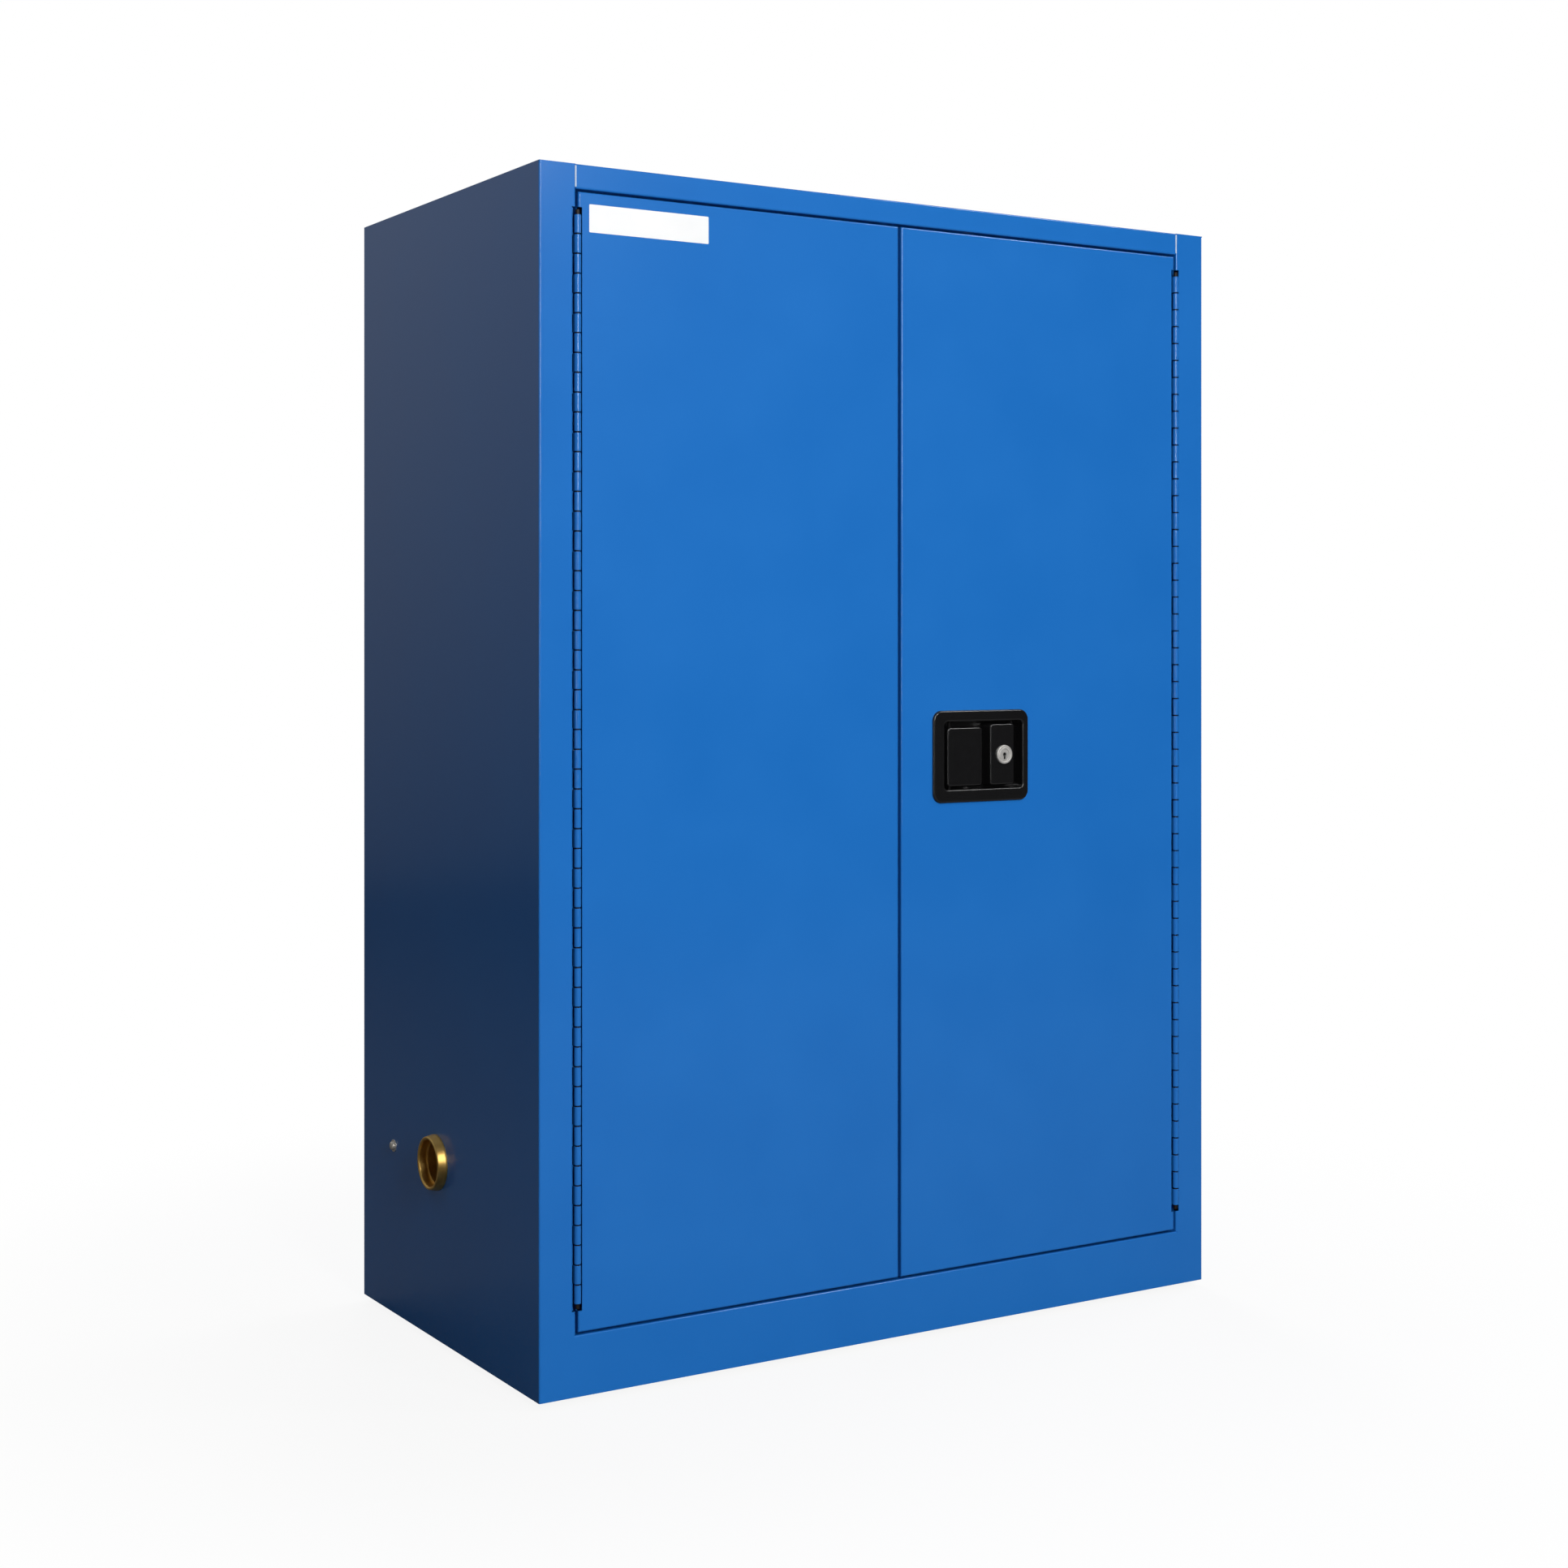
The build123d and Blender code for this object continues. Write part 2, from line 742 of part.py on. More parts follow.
def rod_guide(way):
    """Block on the inner sheet of the door that a rod slides through."""
    x = cam_x + way * rod_dx
    z = door_high - guide_inset if way > 0 else door_low + guide_inset
    half = guide_width / 2
    tall = guide_height / 2
    front = rod_front - rod_clearance - guide_wall
    block = span((x - half, x + half), (front, door_inside_back), (z - tall, z + tall))
    return block - along_rod(way, z - tall, z + tall, rod_clearance)


# Vents and ground screw

def vent_collar(height):
    """Turned collar on the right side, with a stepped bore through both walls."""
    length = air_gap + sheet + vent_inside_reach
    collar = extrude(RegularPolygon(vent_flange_diameter / 2, turned_sides), amount=vent_flange_height)
    collar += extrude(RegularPolygon(vent_spigot_diameter / 2, turned_sides), amount=-length)
    mouth = Pos(0, 0, vent_flange_height)
    collar -= extrude(mouth * Circle(vent_bore_diameter / 2), amount=-vent_bore_depth)
    neck = RegularPolygon(vent_inner_diameter / 2, turned_sides)
    collar -= extrude(mouth * neck, amount=-(vent_flange_height + length))
    return on_side(side_x, vent_setback, height) * collar


def flame_arrester(height):
    """Perforated disc against the inner end of a vent collar."""
    disc = RegularPolygon(vent_spigot_diameter / 2, turned_sides)
    cell = RegularPolygon(arrester_cell, arrester_cell_sides)
    disc -= cell
    disc -= PolarLocations(arrester_cell_pitch, arrester_cell_sides) * cell
    inner_end = side_x - air_gap - sheet - vent_inside_reach
    return extrude(on_side(inner_end, vent_setback, height) * disc, amount=-arrester_thickness)


def ground_washer():
    """Plain washer under the ground screw."""
    ring = small_round(ground_washer_diameter)
    ring -= small_hole(ground_shank_diameter + 2 * ground_clearance)
    return extrude(on_side(side_x, ground_setback, ground_height) * ring, amount=ground_washer_thickness)


def ground_screw():
    """Hexagon screw for an earth wire."""
    base = on_side(side_x + ground_washer_thickness, ground_setback, ground_height)
    hexagon = RegularPolygon(ground_head_diameter / 2, ground_head_sides)
    head = extrude(base * hexagon, amount=ground_head_height)
    return head + extrude(base * small_round(ground_shank_diameter), amount=-ground_shank_length)


# Levelling feet

def foot_places():
    x = side_x - foot_inset
    y = back_y - foot_inset
    return [(-x, -y), (x, -y), (-x, y), (x, y)]


def levelling_foot(x, y):
    """Foot screwed right in, with a tapered pad under the base and a stem through its bush."""
    outline = small_round(foot_diameter)
    pad = extrude(outline, amount=foot_pad)
    rise = foot_height - foot_pad
    slope = degrees(atan2((foot_diameter - foot_crown) / 2, rise))
    pad += extrude(Pos(0, 0, foot_pad) * outline, amount=rise, taper=slope)
    pad += extrude(small_round(foot_stem_diameter), amount=foot_height + foot_stem_length)
    return Pos(x, y, 0) * pad


def foot_bushes():
    """Threaded bushes on the base, one over each foot."""
    ring = RegularPolygon(foot_bush_diameter / 2, foot_bush_sides)
    ring -= RegularPolygon(foot_hole / 2, foot_bush_sides, major_radius=False)
    bush = extrude(ring, amount=foot_bush_height)
    return Compound(children=[Pos(x, y, base_z + sheet) * bush for x, y in foot_places()])


# Shelves, uprights, clips and trays

inside_middle_y = (stop_back + liner_back_y) / 2
upright_face_x = liner_inside_x - upright_thickness
shelf_half_width = upright_face_x - shelf_play
upright_ys = (
    stop_back + upright_setback,
    liner_back_y - upright_setback,
)


def shelf(top):
    """Zinc-plated shelf with its four edges turned down."""
    return pan(
        (-shelf_half_width, shelf_half_width),
        (inside_middle_y - shelf_depth / 2, inside_middle_y + shelf_depth / 2),
        (top - shelf_flange, top),
        Axis.Z, -1, sheet, chamfer, bend_radius,
    )


def upright(y):
    """Slotted strip on the right inner wall."""
    low = sump_top + upright_end_gap
    high = liner_top - sheet - upright_end_gap
    half = upright_width / 2
    strip = span((upright_face_x, liner_inside_x), (y - half, y + half), (low, high))
    slots = []
    for top in shelf_tops:
        slots.append(clip_slot(y, top))
    z = low + upright_slot_pitch
    while z < high - upright_slot_pitch / 2:
        if all(abs(z - slot_height(top)) > upright_slot_pitch / 2 for top in shelf_tops):
            slots.append(slot_at(y, z))
        z += upright_slot_pitch
    return strip - slots


def slot_height(top):
    """Height of the upright's slot for the clip that carries a shelf."""
    return top - shelf_flange - clip_height / 2


def slot_at(y, z):
    half = upright_slot_width / 2
    tall = upright_slot_height / 2
    reach = (upright_face_x - sheet, liner_inside_x + sheet)
    return span(reach, (y - half, y + half), (z - tall, z + tall))


def clip_slot(y, top):
    return slot_at(y, slot_height(top))


def shelf_clips():
    """Wedge-shaped clips on the uprights, two under each end of a shelf."""
    clips = []
    for top in shelf_tops:
        ledge = top - shelf_flange
        outline = Polyline(
            (upright_face_x, ledge),
            (upright_face_x - clip_reach, ledge),
            (upright_face_x - clip_reach, ledge - clip_nose),
            (upright_face_x, ledge - clip_height),
            close=True,
        )
        for y in upright_ys:
            clip = extrude(facing_front(y) * make_face(outline), amount=clip_width / 2, both=True)
            clips.append(clip)
            clips.append(to_left(clip))
    return Compound(children=clips)


def tray(floor, half_width, low_y, high_y):
    """Moulded plastic tray with its corners cut off, open at the top."""
    return pan(
        (-half_width + tray_margin, half_width - tray_margin),
        (low_y + tray_margin, high_y - tray_margin),
        (floor, floor + tray_height),
        Axis.Z, 0, tray_wall, chamfer, tray_bend, tray_corner,
    )


# Cabinet
save("right_side_panel", side_panel(vent_right_height, grounded=False))
save("left_side_panel", to_left(side_panel(vent_left_height, grounded=True)))
save("top_panel", top_panel())
save("bottom_rail", bottom_rail())
save("top_door_stop", door_stop(open_high - stop_width))
save("bottom_door_stop", door_stop(open_low))
save("back_panel", back_panel())
save("base_panel", base_panel())
save("right_liner", side_liner(vent_right_height))
save("left_liner", to_left(side_liner(vent_left_height)))
save("back_liner", back_liner())
save("ceiling_liner", ceiling_liner())
save("sump_floor", sump())
save("right_vent_collar", vent_collar(vent_right_height))
save("left_vent_collar", to_left(vent_collar(vent_left_height)))
save("right_flame_arrester", flame_arrester(vent_right_height))
save("left_flame_arrester", to_left(flame_arrester(vent_left_height)))
save("ground_washer", to_left(ground_washer()))
save("ground_screw", to_left(ground_screw()))
for name, place in zip(("front_left", "front_right", "back_left", "back_right"), foot_places()):
    save(f"{name}_foot", levelling_foot(*place))
save("foot_bushes", foot_bushes())
for name, top in zip(("lower", "upper"), shelf_tops):
    low_y = inside_middle_y - shelf_depth / 2
    save(f"{name}_shelf", shelf(top))
    save(f"{name}_tray", tray(top, shelf_half_width, low_y, low_y + shelf_depth))
sump_inside = (liner_inside_x - sheet, stop_back + 2 * sheet, liner_back_y - sheet)
save("sump_tray", tray(sump_floor + sheet, *sump_inside))
for name, y in zip(("front", "back"), upright_ys):
    save(f"{name}_right_upright", upright(y))
    save(f"{name}_left_upright", to_left(upright(y)))
save("shelf_clips", shelf_clips())

# Hinges
save("right_hinge_frame_leaf", hinge_leaf_plate(towards_frame=True))
save("left_hinge_frame_leaf", to_left(hinge_leaf_plate(towards_frame=True)))
save("right_hinge_door_leaf", hinge_leaf_plate(towards_frame=False))
save("left_hinge_door_leaf", to_left(hinge_leaf_plate(towards_frame=False)))
save("right_hinge_pin", hinge_pin())
save("left_hinge_pin", to_left(hinge_pin()))

# Doors
save("left_door_outer_pan", to_left(door_outer_pan()))
save("left_door_inner_pan", to_left(door_inner_pan()))
passages = [rod_passage(1, door_high), rod_passage(-1, door_low)]
save("right_door_outer_pan", door_outer_pan() - cup_cutout() - passages)
save("right_door_inner_pan", door_inner_pan() - passages)

# Latch and lock
save("latch_cup", latch_cup())
save("paddle", paddle())
save("paddle_pin", paddle_pin())
save("lock_housing", lock_housing())
save("lock_plug", lock_plug())
save("lock_cam", lock_cam())
save("latch_cam", latch_cam())
save("cam_stud", cam_stud())
save("upper_latch_rod", latch_rod(1))
save("lower_latch_rod", latch_rod(-1))
save("upper_rod_guide", rod_guide(1))
save("lower_rod_guide", rod_guide(-1))
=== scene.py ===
import json
from math import pi, radians

import bmesh
import bpy
from mathutils import Matrix, Vector


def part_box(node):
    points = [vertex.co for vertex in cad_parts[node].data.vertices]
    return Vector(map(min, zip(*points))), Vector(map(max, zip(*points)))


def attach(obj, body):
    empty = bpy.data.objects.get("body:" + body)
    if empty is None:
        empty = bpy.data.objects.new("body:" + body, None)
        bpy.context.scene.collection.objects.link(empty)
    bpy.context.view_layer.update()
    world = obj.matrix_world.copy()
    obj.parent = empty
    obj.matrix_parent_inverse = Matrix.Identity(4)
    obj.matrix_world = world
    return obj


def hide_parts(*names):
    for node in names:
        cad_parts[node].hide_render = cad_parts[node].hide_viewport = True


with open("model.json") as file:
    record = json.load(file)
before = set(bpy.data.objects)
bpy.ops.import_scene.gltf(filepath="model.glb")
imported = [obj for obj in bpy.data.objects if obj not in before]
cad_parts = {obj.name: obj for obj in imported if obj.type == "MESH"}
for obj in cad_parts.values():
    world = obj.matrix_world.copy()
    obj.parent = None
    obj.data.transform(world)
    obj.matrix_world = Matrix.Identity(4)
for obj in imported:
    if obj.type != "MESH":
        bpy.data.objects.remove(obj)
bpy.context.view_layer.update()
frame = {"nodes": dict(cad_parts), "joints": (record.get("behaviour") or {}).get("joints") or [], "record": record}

MM = 0.001
joints = {joint["name"]: joint for joint in frame["joints"]}
slot_of = {part["node"]: part["material_slot"] for part in frame["record"]["subparts"]}


# Finishes, with the grain and depth of each pattern in millimetres

PATTERN_RANGE = {"From Min": 0.3, "From Max": 0.7}
PEEL_GRAIN = 1.6
PEEL_DEPTH = 0.01
POWDER_CLOUD = 140.0
ENAMEL_PATCH = 12.0
ENAMEL_GRAIN = 1.2
ENAMEL_DEPTH = 0.003
SATIN_METALLIC = 0.75
SATIN_SPREAD = 0.08
SPANGLE = 9.0
GROOVE_PITCH = 0.7
GROOVE_DEPTH = 0.006
WAVE_RADIANS = 20
TARNISH = 18.0
PLASTIC_GRAIN = 0.9
PLASTIC_DEPTH = 0.02
FILM_CLOUD = 60.0


def colour(code):
    """Linear colour of an sRGB hex code."""
    channels = [int(code[i:i + 2], 16) / 255 for i in (1, 3, 5)]
    linear = [c / 12.92 if c <= 0.04045 else ((c + 0.055) / 1.055) ** 2.4 for c in channels]
    return (*linear, 1.0)


def add(tree, kind, inputs, output=0, **settings):
    """One output of a new node with its settings; each input is a value or another node's output."""
    node = tree.nodes.new(kind)
    for name, value in settings.items():
        setattr(node, name, value)
    for socket, value in inputs.items():
        if isinstance(value, bpy.types.NodeSocket):
            tree.links.new(value, node.inputs[socket])
        else:
            node.inputs[socket].default_value = value
    return node.outputs[output] if node.outputs else None


def new_tree(name):
    """Material with an empty node tree."""
    material = bpy.data.materials.new(name)
    material.use_nodes = True
    material.node_tree.nodes.clear()
    return material, material.node_tree


def places(tree, centre=(0, 0, 0)):
    """Object coordinates in metres, measured from a centre."""
    object_space = add(tree, "ShaderNodeTexCoord", {}, output="Object")
    shift = [-value for value in centre]
    return add(tree, "ShaderNodeMapping", {"Vector": object_space, "Location": shift})


def tint(tree, pattern, first, second):
    """Colour from the first hex code to the second as a pattern goes from dark to light."""
    share = add(tree, "ShaderNodeMapRange", {"Value": pattern, **PATTERN_RANGE})
    ends = {0: share, 6: colour(first), 7: colour(second)}
    return add(tree, "ShaderNodeMix", ends, output=2, data_type="RGBA")


def finished(material, tree, **inputs):
    """The material, with a principled surface of the given inputs; underscores stand for spaces."""
    named = {name.replace("_", " "): value for name, value in inputs.items()}
    surface = add(tree, "ShaderNodeBsdfPrincipled", named)
    add(tree, "ShaderNodeOutputMaterial", {"Surface": surface})
    return material


def powder_coat():
    """Baked polyester powder: a faintly cloudy blue with a fine orange peel; its glossier resin skin draws
    bright lines along the bends."""
    material, tree = new_tree("blue_polyester_powder_coat")
    place = places(tree)
    peel = add(tree, "ShaderNodeTexNoise", {"Vector": place, "Scale": 1 / (PEEL_GRAIN * MM)})
    cloud = add(tree, "ShaderNodeTexNoise", {"Vector": place, "Scale": 1 / (POWDER_CLOUD * MM)})
    shine = {"Value": cloud, **PATTERN_RANGE, "To Min": 0.40, "To Max": 0.44}
    return finished(
        material, tree,
        Base_Color=tint(tree, cloud, "#1d6fc2", "#2072c5"),
        Roughness=add(tree, "ShaderNodeMapRange", shine),
        Specular_IOR_Level=0.1,
        Coat_Weight=1.0,
        Coat_Roughness=0.16,
        Coat_IOR=1.57,
        Normal=add(tree, "ShaderNodeBump", {"Height": peel, "Distance": PEEL_DEPTH * MM}),
    )


def black_paint():
    """Semi-gloss black enamel over cast metal: dark faces, pale lines along the rounded edges."""
    material, tree = new_tree("black_enamel_on_casting")
    place = places(tree)
    patch = add(tree, "ShaderNodeTexNoise", {"Vector": place, "Scale": 1 / (ENAMEL_PATCH * MM)})
    grain = add(tree, "ShaderNodeTexNoise", {"Vector": place, "Scale": 1 / (ENAMEL_GRAIN * MM)})
    shine = {"Value": patch, **PATTERN_RANGE, "To Min": 0.20, "To Max": 0.24}
    return finished(
        material, tree,
        Base_Color=colour("#141415"),
        Roughness=add(tree, "ShaderNodeMapRange", shine),
        Specular_IOR_Level=0.9,
        Normal=add(tree, "ShaderNodeBump", {"Height": grain, "Distance": ENAMEL_DEPTH * MM}),
    )


def bare_metal(name, dark, light, roughness, patch_mm):
    """Bare or plated metal with a slightly uneven tone; its satin grain scatters a part of the light."""
    material, tree = new_tree(name)
    patch = add(tree, "ShaderNodeTexNoise", {"Vector": places(tree), "Scale": 1 / (patch_mm * MM)})
    shine = {"Value": patch, **PATTERN_RANGE, "To Min": roughness, "To Max": roughness + SATIN_SPREAD}
    return finished(
        material, tree,
        Base_Color=tint(tree, patch, dark, light),
        Metallic=SATIN_METALLIC,
        Roughness=add(tree, "ShaderNodeMapRange", shine),
    )


def galvanised_steel():
    """Hot-dipped zinc under a dull patina: large angular spangles of slightly different grey."""
    material, tree = new_tree("hot_dip_galvanised_steel")
    cells = {"Vector": places(tree), "Scale": 1 / (SPANGLE * MM)}
    cell_colour = add(tree, "ShaderNodeTexVoronoi", cells, output="Color")
    spangle = add(tree, "ShaderNodeSeparateColor", {0: cell_colour})
    shine = {"Value": spangle, **PATTERN_RANGE, "To Min": 0.40, "To Max": 0.50}
    return finished(
        material, tree,
        Base_Color=tint(tree, spangle, "#b4b8ba", "#c6cacc"),
        Metallic=0.6,
        Roughness=add(tree, "ShaderNodeMapRange", shine),
    )


def turned_brass(name, centre):
    """Brass from the lathe: fine grooves round the collar's axis stretch each highlight along the axis."""
    material, tree = new_tree(name)
    place = places(tree, centre)
    along = add(tree, "ShaderNodeSeparateXYZ", {0: place}, output="X")
    across = add(tree, "ShaderNodeVectorMath", {0: place, 1: (0.0, 1.0, 1.0)}, operation="MULTIPLY")
    radius = add(tree, "ShaderNodeVectorMath", {0: across}, output="Value", operation="LENGTH")
    feed = add(tree, "ShaderNodeMath", {0: along, 1: radius}, operation="ADD")
    cut = add(tree, "ShaderNodeCombineXYZ", {0: feed})
    # A wave texture of scale 1 turns by WAVE_RADIANS in a metre
    scale = 2 * pi / WAVE_RADIANS / (GROOVE_PITCH * MM)
    grooves = add(
        tree, "ShaderNodeTexWave", {"Vector": cut, "Scale": scale, "Distortion": 0.3}, output="Fac",
    )
    tarnish = add(tree, "ShaderNodeTexNoise", {"Vector": place, "Scale": 1 / (TARNISH * MM)})
    shine = {"Value": tarnish, **PATTERN_RANGE, "To Min": 0.39, "To Max": 0.47}
    return finished(
        material, tree,
        Base_Color=tint(tree, tarnish, "#d6ab5c", "#e4bf72"),
        Metallic=1.0,
        Roughness=add(tree, "ShaderNodeMapRange", shine),
        Normal=add(tree, "ShaderNodeBump", {"Height": grooves, "Distance": GROOVE_DEPTH * MM}),
    )


def moulded_plastic(name, dark, light):
    """Moulded plastic with a faint matt grain."""
    material, tree = new_tree(name)
    grain = add(tree, "ShaderNodeTexNoise", {"Vector": places(tree), "Scale": 1 / (PLASTIC_GRAIN * MM)})
    return finished(
        material, tree,
        Base_Color=tint(tree, grain, dark, light),
        Roughness=0.5,
        Normal=add(tree, "ShaderNodeBump", {"Height": grain, "Distance": PLASTIC_DEPTH * MM}),
    )


def label_film():
    """White vinyl film: smooth, with a soft shine."""
    material, tree = new_tree("white_vinyl_film")
    fade = add(tree, "ShaderNodeTexNoise", {"Vector": places(tree), "Scale": 1 / (FILM_CLOUD * MM)})
    return finished(material, tree, Base_Color=tint(tree, fade, "#f3f4f5", "#f8f8f8"), Roughness=0.35)


finishes = {
    "blue_powder_coat": powder_coat(),
    "galvanised_steel": galvanised_steel(),
    "zinc_plated_steel": bare_metal("zinc_plated_steel", "#d6d0c6", "#e2ddd4", 0.42, 6.0),
    "black_paint": black_paint(),
    "chrome": bare_metal("satin_chrome", "#efece7", "#f5f3ef", 0.42, 15.0),
    "polyethylene": moulded_plastic("blue_polyethylene", "#1f5290", "#24599a"),
    "foot_plastic": moulded_plastic("black_nylon", "#101010", "#161616"),
    "nylon": moulded_plastic("natural_nylon", "#d6d2c6", "#dedad0"),
}
pin_steel = bare_metal("oiled_bare_steel", "#2f2a26", "#3d3732", 0.44, 5.0)
# Near-black steel: the paddle pin's blackened finish, and painted shade on the keyway behind the keyhole
dark_steel_and_keyway_shade = bare_metal("blackened_steel_and_painted_keyway_shade", "#141414", "#1a1a1a", 0.4, 5.0)
label_white = label_film()
# Pale blue-white for the seam beads: a painted highlight, the bright line that light draws along each seam
seam_bead_highlight_paint = moulded_plastic("pale_bead_painted_highlight", "#bccbe0", "#c9d6e6")


# Mesh helpers, in metres; a flat piece is drawn with X to the right, Y up and Z towards the viewer

SAME_POINT = 0.001 * MM
SAME_LEVEL = 0.01 * MM
SHARP_DEGREES = 32
CORNER_SEGMENTS = 8
TURNED_EDGE_SEGMENTS = 4


def facing_front(x, y, z):
    """Placement of a flat piece on the front of the cabinet."""
    return Matrix.Translation((x, y, z)) @ Matrix.Rotation(radians(90), 4, "X")


def facing_side(way, x, y, z):
    """Placement of a turned piece on the left (way -1) or right (way 1) side."""
    return Matrix.Translation((x, y, z)) @ Matrix.Rotation(radians(90) * way, 4, "Y")


def metres(pair):
    """Pair of millimetres in metres."""
    return tuple(value * MM for value in pair)


def middle_of(low, high):
    """Point halfway between two corners."""
    return tuple((a + b) / 2 for a, b in zip(low, high))


def size_of(low, high):
    """Width and height between two corners."""
    return tuple(b - a for a, b in zip(low, high))


def settle(bm, name, body, material, nodes):
    """Object of the finished mesh, riding on its body in place of the CAD nodes it shows."""
    bmesh.ops.remove_doubles(bm, verts=bm.verts, dist=SAME_POINT)
    bmesh.ops.recalc_face_normals(bm, faces=bm.faces)
    mesh = bpy.data.meshes.new(name)
    bm.to_mesh(mesh)
    bm.free()
    mesh.materials.append(material)
    mesh.shade_smooth()
    mesh.set_sharp_from_angle(angle=radians(SHARP_DEGREES))
    piece = bpy.data.objects.new(name, mesh)
    piece.modifiers.new("flat_faces_stay_flat", "WEIGHTED_NORMAL").keep_sharp = True
    bpy.context.scene.collection.objects.link(piece)
    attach(piece, body)
    if nodes:
        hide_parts(*nodes)


def box(bm, low, high):
    """Block between two corners."""
    middle = (Vector(low) + Vector(high)) / 2
    size = Vector(high) - Vector(low)
    place = Matrix.Translation(middle) @ Matrix.Diagonal((*size, 1.0))
    bmesh.ops.create_cube(bm, size=1.0, matrix=place)


def rounded_face(bm, centre, size, corner, height):
    """Rectangle with round corners."""
    place = Matrix.Translation((*centre, height)) @ Matrix.Diagonal((*size, 1.0, 1.0))
    before = set(bm.faces)
    made = bmesh.ops.create_grid(bm, x_segments=1, y_segments=1, size=0.5, matrix=place)
    bmesh.ops.bevel(
        bm, geom=made["verts"], offset=corner, offset_type="OFFSET", affect="VERTICES",
        segments=CORNER_SEGMENTS, profile=0.5, material=-1,
    )
    return [face for face in bm.faces if face not in before][0]


def rounded_loop(bm, centre, size, corner, height):
    """Outline of a rectangle with round corners."""
    face = rounded_face(bm, centre, size, corner, height)
    edges = list(face.edges)
    bmesh.ops.delete(bm, geom=[face], context="FACES_ONLY")
    return edges


def level_edges(bm):
    """Edges whose two ends lie at the same height."""
    return [edge for edge in bm.edges if abs(edge.verts[0].co.z - edge.verts[1].co.z) < SAME_LEVEL]


def points_among(geometry):
    """Vertices in an operator's result."""
    return [element for element in geometry if isinstance(element, bmesh.types.BMVert)]


def ease(bm, edges, radius, segments):
    """Round edges off."""
    bmesh.ops.bevel(
        bm, geom=edges, offset=radius, offset_type="OFFSET", affect="EDGES",
        segments=segments, profile=0.5, material=-1,
    )


def join(bm, first, second):
    """Wall between two outlines."""
    bmesh.ops.bridge_loops(bm, edges=first + second)


def rod(bm, centre, radius, length, segments):
    """Upright round bar with flat ends."""
    bmesh.ops.create_cone(
        bm, cap_ends=True, segments=segments, radius1=radius, radius2=radius, depth=length,
        matrix=Matrix.Translation(centre),
    )


def turned(bm, profile, place, segments):
    """Lathe piece: the profile has a radius, a height and the rounding of each corner, in millimetres."""
    points = [bm.verts.new((radius * MM, 0.0, height * MM)) for radius, height, _ in profile]
    bm.faces.new(points)
    for point, (_, _, rounding) in zip(points, profile):
        if rounding:
            bmesh.ops.bevel(
                bm, geom=[point], offset=rounding * MM, offset_type="OFFSET", affect="VERTICES",
                segments=TURNED_EDGE_SEGMENTS, profile=0.5, material=-1,
            )
    outline = [edge for edge in bm.edges if edge.is_boundary]
    off_axis = [edge for edge in outline if any(abs(vert.co.x) > SAME_LEVEL for vert in edge.verts)]
    on_axis = [edge for edge in outline if edge not in off_axis]
    bmesh.ops.delete(bm, geom=bm.faces[:], context="FACES_ONLY")
    bmesh.ops.delete(bm, geom=on_axis, context="EDGES")
    chain = [edge for edge in off_axis if edge.is_valid]
    verts = list({vert for edge in chain for vert in edge.verts})
    bmesh.ops.spin(
        bm, geom=verts + chain, cent=(0, 0, 0), axis=(0, 0, 1), dvec=(0, 0, 0),
        angle=2 * pi, steps=segments, use_merge=True,
    )
    bmesh.ops.remove_doubles(bm, verts=bm.verts, dist=SAME_POINT)
    bmesh.ops.transform(bm, matrix=place, verts=bm.verts)


# Continuous hinges

KNUCKLES = 55
KNUCKLE_GAP = 1.8 * MM
KNUCKLE_EASE = 0.5 * MM
BARREL_RADIUS = 4.8 * MM
NECK = 1.2 * MM
LEAF = 1.5 * MM
CURL_DEGREES = 338
CURL_STEPS = 18
RIM_DEGREES = 60
PIN_SEGMENTS = 24
PIN_EASE = 0.6 * MM


